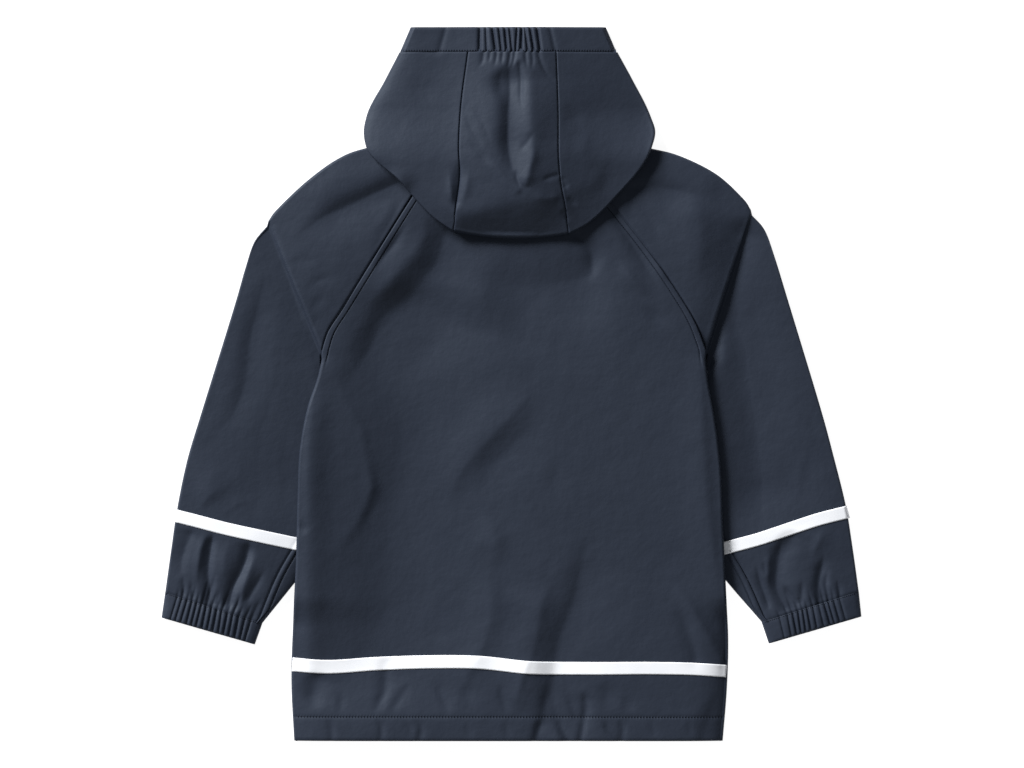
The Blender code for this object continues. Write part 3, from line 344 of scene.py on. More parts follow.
def sleeve_under(x, y):
    """How much of an arm's height lies under the body at (x, y), from 0 to 1, with a ramp beside it."""
    x = np.asarray(x, float)
    y = np.asarray(y, float)
    most = np.zeros(x.shape)
    for side in OUTWARD:
        arm = np.array(SLEEVE_PLAN[side])[CAP_SECTIONS:]
        corners = np.vstack([arm[:, 0:2], arm[::-1, 2:4]])
        away = np.full(x.shape, FAR)
        inside = np.zeros(x.shape, bool)
        for start, end in zip(corners, np.roll(corners, -1, axis=0)):
            away = np.minimum(away, beside_line(x, y, start, end))
            if start[1] != end[1]:
                crossing = start[0] + (y - start[1]) * (end[0] - start[0]) / (end[1] - start[1])
                inside ^= ((start[1] > y) != (end[1] > y)) & (x < crossing)
        most = np.maximum(most, soft_step(-27.0, -10.0, np.where(inside, away, -away)))
    return most


def rest_height(x, y):
    """The height that the body rests on at (x, y)."""
    return REST_HEIGHT * sleeve_under(x, y) * soft_step(UNDERARM + 26.0, UNDERARM, y)


def gathers_up(side):
    """The creases that the gathers of a cuff send up its sleeve."""
    outer_x, outer_y, inner_x, inner_y = CUFF_PLAN[side][0]
    inner = np.array([inner_x, inner_y])
    width = math.hypot(outer_x - inner_x, outer_y - inner_y)
    along = np.array([outer_x - inner_x, outer_y - inner_y]) / width
    up = OUTWARD[side] * np.array([-along[1], along[0]])
    creases = []
    for place, wide, deep, lean, run in CUFF_GATHERS[side]:
        start = inner + along * (place + lean * 0.5)
        fan = along * (place / width - 0.5) * run
        points = [start - up, start + up * run * 0.5 + fan * 0.2, start + up * run + fan * 0.5]
        creases.append((wide * 1.3, wide * 1.3, -0.75 * deep, 1.5, 0.0, 0.8, [tuple(p) for p in points]))
    return creases


def sleeve_grid(side):
    """All the points of a sleeve's outer face."""
    rows = sleeve_rows(side)
    points = np.array([sleeve_ring(row, cap) for row, cap in rows])
    cap = np.array([share for _, share in rows])[:, None]
    top = points[:, :TOP_POINTS]
    creases = SLEEVE_CREASES[side] + gathers_up(side)
    top[..., 2] += creased(creases, top[..., 0], top[..., 1])
    outside = OUTWARD[side] * (top[..., 0] - edge_x(side, top[..., 1]))
    at_edge, beside = UNDER_BODY[side]
    most = at_edge + (beside - at_edge) * soft_step(0.0, PRESS_WIDE, outside)
    most = most + PRESS_SLOPE * np.clip(outside - PRESS_WIDE, 0.0, None)
    pressed = -np.log(np.exp(-1.3 * top[..., 2]) + np.exp(-1.3 * most)) / 1.3
    share = (1.0 - cap) * soft_step(PRESS_END[0], PRESS_END[1], top[..., 1])
    top[..., 2] += share * (pressed - top[..., 2])
    # The end runs on beneath the cuff's casing.
    outward = points[-1] - points[-2]
    last = points[-1] + outward / np.linalg.norm(outward[:, :2], axis=1, keepdims=True) * CUFF_LAP
    last[:TOP_POINTS, 2] = points[-1, :TOP_POINTS, 2] - 1.2
    points = np.concatenate([points, last[None]])
    return points if side == "left" else points[:, ::-1]


class Value:
    """A number that changes over a surface, which can be used in plain sums."""

    def __init__(self, finish, socket):
        self.finish = finish
        self.socket = socket

    def math(self, operation, first, second=0.0):
        return self.finish.node("ShaderNodeMath", {"operation": operation}, {0: first, 1: second})

    def __add__(self, other):
        return self.math("ADD", self, other)

    def __radd__(self, other):
        return self.math("ADD", other, self)

    def __sub__(self, other):
        return self.math("SUBTRACT", self, other)

    def __rsub__(self, other):
        return self.math("SUBTRACT", other, self)

    def __mul__(self, other):
        return self.math("MULTIPLY", self, other)

    def __rmul__(self, other):
        return self.math("MULTIPLY", other, self)


class Finish:
    """A material and its nodes."""

    def __init__(self, name, settings):
        self.material = bpy.data.materials.new(name)
        self.material.use_nodes = True
        self.tree = self.material.node_tree
        self.shader = self.tree.nodes["Principled BSDF"]
        for socket, value in settings.items():
            self.shader.inputs[socket].default_value = value

    def node(self, kind, settings, sockets, output=0):
        """Adds a node with these settings and socket values, and returns one of its outputs."""
        made = self.tree.nodes.new(kind)
        for name, value in settings.items():
            setattr(made, name, value)
        for name, value in sockets.items():
            self.put(made.inputs[name], value)
        return Value(self, made.outputs[output])

    def put(self, socket, value):
        if isinstance(value, Value):
            self.tree.links.new(value.socket, socket)
        else:
            socket.default_value = value

    def place(self):
        """Object coordinates, in metres."""
        return self.node("ShaderNodeTexCoord", {}, {}, "Object")

    def noise(self, place, scale, detail=2.0, rough=0.5):
        settings = {"noise_dimensions": "3D"}
        return self.node("ShaderNodeTexNoise", settings, {"Vector": place, "Scale": scale, "Detail": detail,
                                                          "Roughness": rough}, "Fac")

    def mix(self, share, first, second):
        """One colour turning into another."""
        settings = {"data_type": "RGBA"}
        return self.node("ShaderNodeMix", settings, {0: share, 6: first, 7: second}, 2)

    def bump(self, height, distance, strength=1.0, normal=None):
        sockets = {"Height": height, "Distance": distance, "Strength": strength}
        if normal is not None:
            sockets["Normal"] = normal
        return self.node("ShaderNodeBump", {}, sockets, "Normal")


# Stitch lines that pucker the cloth: a point on the line, its direction, the pitch and the half width.
PUCKERS = [((0.0, -299.6), (1.0, -0.003), 2.7, 2.0), ((0.0, 300.0), (1.0, 0.0), 2.4, 1.4)]


def coated_cloth():
    """Navy polyurethane on a knitted backing: a satin film with a very fine grain, puckered by stitching."""
    finish = Finish("coated_cloth", {"Specular IOR Level": 0.18, "Specular Tint": (0.80, 0.90, 1.0, 1.0)})
    place = finish.place()
    clouds = finish.noise(place, 14.0, 3.0)
    grain = finish.noise(place, 1500.0, 2.0, 0.6)
    dark = (0.0200, 0.0258, 0.0405, 1.0)
    light = (0.0245, 0.0310, 0.0475, 1.0)
    finish.put(finish.shader.inputs["Base Color"], finish.mix(clouds * 1.2 + grain * 0.2 - 0.2, dark, light))
    finish.put(finish.shader.inputs["Roughness"], 0.54 + clouds * 0.06 + grain * 0.06)
    x = finish.node("ShaderNodeSeparateXYZ", {}, {"Vector": place}, 0)
    y = Value(finish, x.socket.node.outputs[1])
    uneven = finish.noise(place, 90.0, 1.0)
    puckers = 0.0
    for (at_x, at_y), (run_x, run_y), pitch, half in PUCKERS:
        along = (x * run_x + y * run_y) * (2.0 * math.pi / (pitch * MM))
        across = ((y - at_y * MM) * run_x - (x - at_x * MM) * run_y) * (1.0 / (half * MM))
        inside = across.math("MAXIMUM", 1.0 - across * across)
        puckers = along.math("SINE", along) * inside + puckers
    handled = finish.bump(finish.noise(place, 34.0, 4.0, 0.55), 0.0013)
    grained = finish.bump(grain, 0.00002, 0.5, handled)
    stitched = finish.bump(puckers * (0.3 + uneven), 0.00010, 0.8, grained)
    finish.put(finish.shader.inputs["Normal"], stitched)
    return finish.material


navy_cloth = coated_cloth()


def made_object(name, mesh, material):
    """Puts a finished mesh into the scene as an object of one material."""
    data = bpy.data.meshes.new(name)
    mesh.to_mesh(data)
    mesh.free()
    made = bpy.data.objects.new(name, data)
    bpy.context.scene.collection.objects.link(made)
    data.materials.append(material)
    data.shade_smooth()
    return made


def cloth(name, points, material, thickness=CLOTH, weld=False):
    """A thin wall of cloth whose outer face runs through rows of points, and which rides on the coat."""
    rows, columns = points.shape[:2]
    mesh = bmesh.new()
    mesh.loops.layers.uv.new("UVMap")
    bmesh.ops.create_grid(mesh, x_segments=columns - 1, y_segments=rows - 1, size=0.5, calc_uvs=True)
    for vert in mesh.verts:
        column = round((vert.co.x + 0.5) * (columns - 1))
        row = round((vert.co.y + 0.5) * (rows - 1))
        vert.co = points[row, column] * MM
    if weld:
        bmesh.ops.remove_doubles(mesh, verts=mesh.verts, dist=0.02 * MM)
    piece = made_object(name, mesh, material)
    solidify = piece.modifiers.new("Cloth", "SOLIDIFY")
    solidify.thickness = thickness * MM
    solidify.offset = -1.0
    solidify.use_quality_normals = True
    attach(piece, "root")
    return piece


OFF_PANEL = 3.0  # the height taken where a line runs off its panel


def lie_on(panel, x, y):
    """The height of a panel's grid of points at (x, y), from its nearest faces."""
    rows, columns = panel.shape[:2]
    corners = [tuple(p) for p in panel.reshape(-1, 3)]
    faces = [(r * columns + c, r * columns + c + 1, (r + 1) * columns + c + 1, (r + 1) * columns + c)
             for r in range(rows - 1) for c in range(columns - 1)]
    tree = BVHTree.FromPolygons(corners, faces)
    found = np.empty(x.shape)
    for k in np.ndindex(x.shape):
        hit = tree.ray_cast(Vector((x[k], y[k], 60.0)), Vector((0.0, 0.0, -1.0)))[0]
        found[k] = hit.z if hit is not None else OFF_PANEL
    return found


navy_thread = Finish("navy_thread", {"Base Color": (0.0025, 0.0035, 0.0065, 1.0), "Roughness": 0.9,
                                     "Specular IOR Level": 0.1}).material


def stitching(name, panel, lines, pitch, size):
    """Rows of single stitches lying on a panel along lines, each sunk halfway into the cloth."""
    mesh = bmesh.new()
    for points in lines:
        length = float(np.linalg.norm(np.diff(np.array(points, float), axis=0), axis=1).sum())
        places = curve(points)(np.linspace(0.0, 1.0, round(length / pitch) + 1))
        run = np.gradient(places, axis=0)
        heights = lie_on(panel, places[:, 0], places[:, 1])
        slopes = np.gradient(heights) / np.linalg.norm(run, axis=1)
        for (x, y), (run_x, run_y), z, slope in zip(places, run, heights, slopes):
            turned = Matrix.Rotation(math.atan2(run_y, run_x), 4, "Z") @ Matrix.Rotation(-math.atan(slope), 4, "Y")
            seat = Matrix.Translation(Vector((x, y, z + 0.12)) * MM) @ turned
            shape = seat @ Matrix.Diagonal((size[0] * MM, size[1] * MM, size[2] * MM, 1.0))
            bmesh.ops.create_uvsphere(mesh, u_segments=6, v_segments=4, radius=0.5, matrix=shape)
    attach(made_object(name, mesh, navy_thread), "root")


sleeves = {}
for side in OUTWARD:
    sleeves[side] = sleeve_grid(side)
    sleeve = cloth("raglan_sleeve_" + side, sleeves[side], navy_cloth)
    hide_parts("sleeve_" + side, "sleeve_under_" + side)

# ---------------------------------------------------------------------------------------------------------
# Back. One panel of coated cloth between the two raglan seams, folded round under its sides, with felled
# seams on its edge and the hem turned up and stitched. It lies over the arms at both sides.

HEM_LINE = -299.6
NECK_LINE = 201.0
BODY_EDGE = 6.0
BODY_CROWN = 14.5
HEM_CROWN = 14.5
NECK_CROWN = 13.2
RAGLAN_TOP = 12.5
SIDE_ROUNDING = {"left": 26.0, "right": 11.0}
LEAST_HEIGHT = 4.4  # a crease never sinks deeper, since the fronts lie beneath
NECK_DIP = (6.0, 64.0)  # the neck line sinks this deep in the middle, over this half width
# Across a raised raglan seam, from the back's edge in: how far in, and how far up.
SEAM_PROFILE = [
    (0.05, -0.70), (0.20, -0.15), (0.45, 0.20), (0.80, 0.42), (1.30, 0.50), (2.20, 0.52), (3.40, 0.52), (4.60, 0.50),
    (5.15, 0.42), (5.50, 0.10), (5.80, -0.50), (6.05, -0.55), (6.35, -0.20), (6.80, 0.0), (7.60, 0.0), (9.00, 0.0),
]
BACK_CREASES = [
    (76, 46, -8.6, 1.9, 0.1, 0.15, [
        (-64, 94), (-78, 72), (-90, 50), (-96, 29), (-98, 7), (-95, -14), (-91, -36), (-90, -58), (-92, -80),
        (-96, -101), (-100, -122), (-104, -166), (-106, -209), (-122, -239), (-148, -275), (-156, -310)]),
    (40, 16, -5.6, 1.7, 0, 0.5, [
        (-58, 132), (-67, 105), (-82, 88), (-95, 66), (-116, 45), (-131, 22), (-146, 0), (-152, -17)]),
    (14, 10, 2.4, 1.9, 0.1, 0.3, [(-176, 0), (-180, -60), (-181, -130), (-182, -210), (-182, -290)]),
    (9, 9, 1.65, 1.8, 0.4, 0.5, [(-75, 153), (-79, 131), (-93, 110), (-114, 87), (-136, 61)]),
    (5, 4, -1.38, 1.6, 0.4, 0.5, [(-92, 148), (-103, 130), (-118, 110), (-127, 94)]),
    (50, 24, -4.6, 1.9, 0.35, 0.35, [(104, 104), (60, 90), (21, 84), (-37, 94)]),
    (9, 7, -3.02, 1.6, 0, 0.5, [(60, 133), (71, 121), (73, 106), (69, 90)]),
    (10, 6, -2.2, 1.7, 0, 0.5, [(90, 157), (107, 130), (123, 103), (135, 81)]),
    (6, 6, 1.51, 1.7, 0.5, 0.5, [(94, 115), (110, 94), (128, 76)]),
    (6, 7, -1.1, 1.7, 0.5, 0.5, [(112, 72), (130, 61), (148, 50)]),
    (5, 5, 0.83, 1.7, 0.5, 0.5, [(128, 121), (135, 104), (141, 90)]),
    (11, 30, 2.89, 1.7, 0.4, 0.5, [(26, 5), (4, -22), (-17, -43), (-36, -64), (-51, -86), (-58, -109), (-62, -126)]),
    (24, 10, -1.24, 1.8, 0.5, 0.5, [(36, -18), (8, -50), (-18, -77), (-30, -109)]),
    (14, 8, 1.1, 1.9, 0.5, 0.5, [(-174, -7), (-181, -41), (-183, -86), (-180, -140)]),
    (10, 18, 1.79, 1.7, 0.5, 0, [(-39, -157), (-23, -171), (-18, -194), (-21, -218), (-31, -247)]),
    (9, 16, 1.51, 1.8, 0.5, 0.5, [(-22, -115), (-15, -140), (-11, -166)]),
    (30, 11, -3.2, 1.6, 0.4, 0, [
        (70, -125), (67, -145), (63, -172), (56, -200), (47, -222), (41, -250), (38, -275), (42, -300)]),
    (9, 26, 2.48, 1.6, 0.4, 0, [(36, -176), (27, -194), (23, -218), (16, -247)]),
    (8, 8, -0.62, 1.8, 0.5, 0.5, [(44, -59), (40, -86), (36, -112)]),
    (5, 8, 1.51, 1.6, 0.4, 0, [(141, -176), (157, -194), (173, -221), (189, -247)]),
    (6, 7, -1.38, 1.6, 0.5, 0, [(148, -194), (158, -220), (166, -247)]),
    (8, 18, 2.06, 1.8, 0.4, 0.4, [(169, 49), (170, -14), (172, -59), (175, -104), (181, -158), (189, -212)]),
    (5, 4, -0.96, 1.6, 0.4, 0.5, [(-193, -126), (-188, -130), (-180, -131)]),
    (10, 9, -2.8, 1.7, 0.3, 0.4, [(-172, -257), (-178, -275), (-179, -295)]),
    (4.5, 2.5, -0.69, 1.6, 0.5, 0.4, [(-153, -275), (-155, -297)]),
    (6, 4.2, -1.79, 1.5, 0, 0.4, [(-114, -254), (-115, -277), (-126, -299)]),
    (5.2, 3.4, -1.1, 1.6, 0.5, 0.4, [(-90, -268), (-102, -284), (-111, -299)]),
    (6, 3, -1.1, 1.6, 0.5, 0.4, [(-71, -265), (-63, -281), (-55, -299)]),
    (7.5, 4.2, -0.69, 1.8, 0.5, 0.5, [(-42, -266), (-39, -295)]),
    (5.2, 3, -0.96, 1.6, 0.5, 0.4, [(-12, -266), (-8, -284), (-5, -299)]),
    (14, 10, 1.79, 1.6, 0, 0.4, [(17, -259), (9, -275), (5, -297)]),
    (9, 5.1, -1.65, 1.5, 0.4, 0, [(35, -263), (31, -284), (26, -319)]),
    (5.2, 3, -1.1, 1.5, 0.5, 0, [(49, -277), (54, -290), (58, -301)]),
    (5.2, 3.4, -1.93, 1.4, 0.4, 0, [(65, -275), (67, -290), (65, -302)]),
    (12, 6.8, -1.1, 1.8, 0.5, 0.5, [(90, -263), (83, -295)]),
    (6, 3, -0.83, 1.6, 0.5, 0.4, [(99, -279), (108, -297)]),
    (12, 6.8, -1.24, 1.8, 0.5, 0, [(189, -275), (180, -295), (173, -319)]),
    (2.6, 2.6, -1.1, 1.5, 0.4, 0, [(-165, -300), (-162, -310), (-162, -321)]),
    (2.6, 2.6, -1.1, 1.5, 0.4, 0, [(-121, -300), (-117, -310), (-118, -321)]),
    (2.4, 2.4, -0.69, 1.5, 0.4, 0.4, [(-99, -301), (-91, -311), (-91, -321)]),
    (2.6, 2.4, -1.1, 1.5, 0.4, 0, [(-86, -300), (-81, -310), (-83, -321)]),
    (3, 3, -0.55, 1.6, 0.4, 0.4, [(-41, -301), (-37, -321)]),
    (3, 3, -0.55, 1.6, 0.4, 0.4, [(-6, -301), (-2, -321)]),
    (3, 3, -1.51, 1.5, 0.4, 0, [(27, -300), (24, -310), (21, -321)]),
    (2.6, 2.6, -1.24, 1.5, 0.4, 0, [(40, -300), (45, -310), (52, -321)]),
    (2.6, 2.6, -1.65, 1.5, 0.4, 0, [(65, -300), (64, -310), (62, -321)]),
    (2.6, 2.6, -1.51, 1.5, 0.4, 0, [(82, -300), (86, -309), (91, -315), (98, -321)]),
    (2.6, 2.6, -1.24, 1.5, 0.4, 0, [(98, -300), (100, -310), (99, -321)]),
    (3, 3, -0.69, 1.6, 0.4, 0.4, [(125, -300), (130, -321)]),
    (3, 3, -0.55, 1.6, 0.4, 0.4, [(159, -301), (162, -321)]),
]


def back_top(x, y):
    """The height of the back's outer face at (x, y), away from its rolled side edges."""
    x, y = np.broadcast_arrays(x, y)
    crown = HEM_CROWN + (BODY_CROWN - HEM_CROWN) * soft_step(-325.0, -215.0, y)
    crown = crown - (BODY_CROWN - NECK_CROWN) * soft_step(40.0, 120.0, y)
    height = crown
    for side, rounding in SIDE_ROUNDING.items():
        edge = edge_x(side, y)
        away = np.abs(x - edge)
        on_sleeve = BODY_EDGE + rest_height(edge - OUTWARD[side] * 4.0, y)
        rim = on_sleeve + (RAGLAN_TOP - on_sleeve) * soft_step(UNDERARM - 18.0, UNDERARM, y)
        height = height - (crown - rim) * np.exp(-away / rounding)
    height = height + creased(BACK_CREASES, x, y)
    least = LEAST_HEIGHT + 0.8 * rest_height(x, y)
    return least + np.log1p(np.exp(0.9 * (height - least))) / 0.9


def neck_dip(x):
    """How far the neck line lies below its ends at x."""
    deep, wide = NECK_DIP
    return deep * np.clip(1.0 - (x / wide) ** 2, 0.0, None)


def back_grid():
    """The back's outer face: each row starts under the left side and ends under the right one."""
    heights = np.concatenate([[-321.3, -320.6, -319.4], np.linspace(-317.6, -302.0, 9),
                              [-300.6, -300.0, -299.6, -299.2, -298.6], np.linspace(-297.0, NECK_LINE, 232)])[:, None]
    wrapped = 1.0 - soft_step(UNDERARM - 18.0, UNDERARM, heights)
    radius = BODY_EDGE / 2
    angles = np.radians([0.0, 25.0, 50.0, 75.0, 100.0, 122.0, 142.0])
    sides = {}
    inward, up = np.array(SEAM_PROFILE).T
    for side, out in OUTWARD.items():
        edge = edge_x(side, heights)
        low = rest_height(edge - out * 6.0, heights)
        inner = back_top(edge - out * (radius + 2.0), heights)
        x_round = edge - out * (radius - radius * np.sin(angles))
        z_round = low + radius * (1.0 - np.cos(angles)) * (inner - low) / BODY_EDGE
        x_under = edge - out * 7.0
        z_under = rest_height(x_under, heights)
        x_beside = edge - out * np.array([2.4, 3.2, 4.0, 5.0, 6.0, 7.0, 8.0, 9.0])
        x_turned = np.hstack([x_under, x_round, x_beside])
        z_turned = np.hstack([z_under, z_round, back_top(x_beside, heights)])
        x_seam = edge - out * inward
        z_seam = back_top(x_seam, heights) + up
        sides[side] = (wrapped * x_turned + (1.0 - wrapped) * x_seam, wrapped * z_turned + (1.0 - wrapped) * z_seam)
    start = sides["left"][0][:, -1] + 1.6
    end = sides["right"][0][:, -1] - 1.6
    x_middle = start[:, None] + (end - start)[:, None] * np.linspace(0.0, 1.0, 166)
    x = np.hstack([sides["left"][0], x_middle, sides["right"][0][:, ::-1]])
    z = np.hstack([sides["left"][1], back_top(x_middle, heights), sides["right"][1][:, ::-1]])
    y = np.broadcast_to(heights, x.shape).copy()
    y -= soft_step(150.0, NECK_LINE, y) * neck_dip(x)
    z -= 0.35 * np.exp(-(((y - HEM_LINE) / 1.0) ** 2))
    z -= 1.2 * soft_step(-319.6, -321.4, y)
    return np.dstack([x, y, z])


back_points = back_grid()
back = cloth("back_panel_cloth", back_points, navy_cloth)
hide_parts("back_panel")
stitching("hem_stitches", back_points, [[(-192.0, -299.6), (0.0, -299.4), (189.0, -299.9)]], 2.7, (1.6, 1.0, 0.6))
for side, out in OUTWARD.items():
    line = curve(RAGLAN_SEAM[side])(np.linspace(0.02, 0.93, 12)) - np.array([out * 5.8, 0.0])
    stitching("raglan_stitches_" + side, back_points, [line], 2.2, (1.6, 0.6, 0.5))

# ---------------------------------------------------------------------------------------------------------
# Fronts. Two panels of the same cloth beneath, flat on the surface and over the arms at the sides; the left
# laps over the right along the closing.

FRONT_SHARES = np.linspace(0.0, 1.0, 60)
FRONT_OVERLAP = 26.0
FRONT_LIFT = 1.6
FRONT_NECK = [(-79.8, 223.2), (-67.4, 202.4), (-61.0, 176.0), (-42.0, 150.0), (0.0, 136.0), (36.0, 150.0),
              (54.0, 176.0), (59.3, 202.4), (73.0, 223.2)]


def front_grid(side):
    """A front's face as it rests on the surface, seen from beneath."""
    out = OUTWARD[side]
    heights = np.linspace(-321.3, NECK_LINE, 110)
    below = 1.0 - soft_step(UNDERARM - 18.0, UNDERARM, heights)
    edge = edge_x(side, heights) - out * (below * 7.3 + 0.3)
    centre = -out * FRONT_OVERLAP / 2
    x = edge[:, None] + (centre - edge)[:, None] * FRONT_SHARES
    y = np.broadcast_to(heights[:, None], x.shape).copy()
    z = rest_height(x, y)
    if side == "left":
        z = z + FRONT_LIFT * soft_step(-FRONT_OVERLAP / 2 - 14.0, -FRONT_OVERLAP / 2 - 1.0, x)
    neck = np.interp(x, *zip(*FRONT_NECK))
    y += soft_step(60.0, NECK_LINE, y) * (np.minimum(neck, NECK_LINE) - 0.3 - NECK_LINE)
    points = np.dstack([x, y, z])
    return points[:, ::-1] if side == "left" else points


for side in OUTWARD:
    points = front_grid(side)
    front = cloth("front_panel_" + side, points, navy_cloth)
    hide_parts("front_" + side)

# ---------------------------------------------------------------------------------------------------------
# Cuffs. The sleeve's end is turned over a band of elastic, stitched down as a casing, and gathered by it.

CUFF_EDGE = 7.0
CUFF_CROWN = 3.0
CUFF_STITCHES = -0.9  # the line of stitching lies this far below the cuff's seam


def cuff_grid(side):
    """A cuff's outer face, from its seam to the opening and back a little inside."""
    seam, opening = np.array(CUFF_PLAN[side])
    radius = CUFF_EDGE / 2
    rows = []
    for share in np.concatenate([[0.0, 0.02, 0.05, 0.09], np.linspace(0.13, 0.95, 17), [0.98, 1.0]]):
        line = seam + (opening - seam) * share
        width = float(np.linalg.norm(line[:2] - line[2:]))
        along = (line[:2] - line[2:]) / width
        t = np.linspace(0.0, 1.0, 240)
        s = radius + (width - CUFF_EDGE) * t
        z = CUFF_EDGE + (CUFF_CROWN + 0.8 * math.sin(math.pi * share)) * np.sin(math.pi * t) ** 0.7
        for place, wide, deep, lean, run in CUFF_GATHERS[side]:
            middle = place - lean * (share - 0.5)
            full = 0.8 + 0.2 * math.sin(math.pi * share)
            z -= deep * full * np.exp(-np.abs((s - middle) / wide) ** 1.5)
        z -= 0.35 * math.exp(-((share / 0.06) ** 2)) * np.sin(math.pi * t) ** 0.3
        z -= 1.2 * soft_step(0.92, 1.0, share) * np.sin(math.pi * t) ** 0.3
        over = radius * np.sin(ROUND_EDGE)
        rise = radius * np.cos(ROUND_EDGE)
        s_all = np.concatenate([s, width - radius + over, np.linspace(width - radius, radius, 30), radius - over,
                                [radius]])
        z_all = np.concatenate([z, radius + rise, np.zeros(30), radius - rise, [z[0]]])
        rows.append(np.column_stack([line[2] + along[0] * s_all, line[3] + along[1] * s_all, z_all]))
    points = np.array(rows)
    return points if side == "left" else points[:, ::-1]


for side in OUTWARD:
    points = cuff_grid(side)
    cuff = cloth("cuff_casing_" + side, points, navy_cloth, weld=True)
    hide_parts("cuff_" + side)
    outer_x, outer_y, inner_x, inner_y = CUFF_PLAN[side][0]
    line = [(inner_x + (outer_x - inner_x) * share, inner_y + (outer_y - inner_y) * share + CUFF_STITCHES)
            for share in (0.05, 0.5, 0.95)]
    stitching("cuff_stitches_" + side, points, [line], 1.8, (1.1, 0.8, 0.6))

# ---------------------------------------------------------------------------------------------------------
# Hood. A centre strip and two side panels of the same cloth, sewn together and rolled round under their
# edges; the side panels run on beneath to the face opening and the neck.

HOOD_MIDDLE = -2.7
HOOD_EDGE = 7.6
HOOD_BASE = 11.2
HOOD_CROWN = 34.0
# How much of the crown's height the hood has across its width: low and flat on the left, highest right of the
# middle, and falling evenly from there.
HOOD_ACROSS = [(-135.0, 0.10), (-100.0, 0.27), (-52.0, 0.46), (-24.0, 0.72), (-5.0, 0.85), (18.0, 0.94),
               (45.0, 0.58), (90.0, 0.14), (135.0, -0.12)]
HOOD_ROLL = 4.5  # its sides roll off over this length
HOOD_FALL = (15.0, 29.0)  # and its lower edge slopes down over this, left and right
HOOD_TURN = np.radians(np.linspace(15.0, 150.0, 10))  # steps round its edge
HOOD_LOWER = 175.0  # its outline below this is its lower edge
BRIM_CROWN = 17.0
BRIM_SEAM = 298.6
BRIM_LAP = 3.0
STRIP_ROWS = 120
SIDE_TOP = 68  # points of a side panel's rows that lie on top
HOOD_OUTLINE = {
    "left": [(-100.4, 298.6), (-113.4, 273.6), (-130.2, 240.5), (-132.4, 228.0), (-130.6, 214.6),
             (-100.4, 182.7), (-66.4, 146.8), (-52.0, 137.0)],
    "right": [(95.0, 298.6), (108.7, 273.6), (125.0, 240.5), (128.9, 227.7), (125.6, 212.6),
              (93.6, 168.4), (65.0, 141.8), (51.0, 134.6)],
}
HOOD_SEAM = {
    "left": [(-39.1, 298.6), (-45.5, 247.5), (-47.2, 209.7), (-46.2, 189.9), (-50.0, 158.0), (-52.0, 140.8)],
    "right": [(40.1, 298.6), (41.9, 245.7), (42.4, 199.8), (44.0, 182.0), (48.0, 160.0), (51.0, 138.4)],
}
HOOD_ROWS = [
    # share down the seam, share round the outline, and where the row ends beneath, out from the middle and up
    (0.00, 0.00, 95.2, 296.0), (0.10, 0.10, 93.0, 281.0), (0.21, 0.20, 102.0, 261.0), (0.32, 0.29, 111.0, 242.0),
    (0.42, 0.355, 114.5, 230.5), (0.50, 0.405, 114.5, 224.0), (0.56, 0.440, 108.0, 220.5),
    (0.62, 0.480, 83.0, 212.0), (0.69, 0.560, 76.0, 209.0), (0.77, 0.660, 70.0, 206.5),
    (0.85, 0.770, 64.0, 204.0), (0.91, 0.880, 58.0, 201.0), (0.955, 1.000, 54.4, 198.6),
]
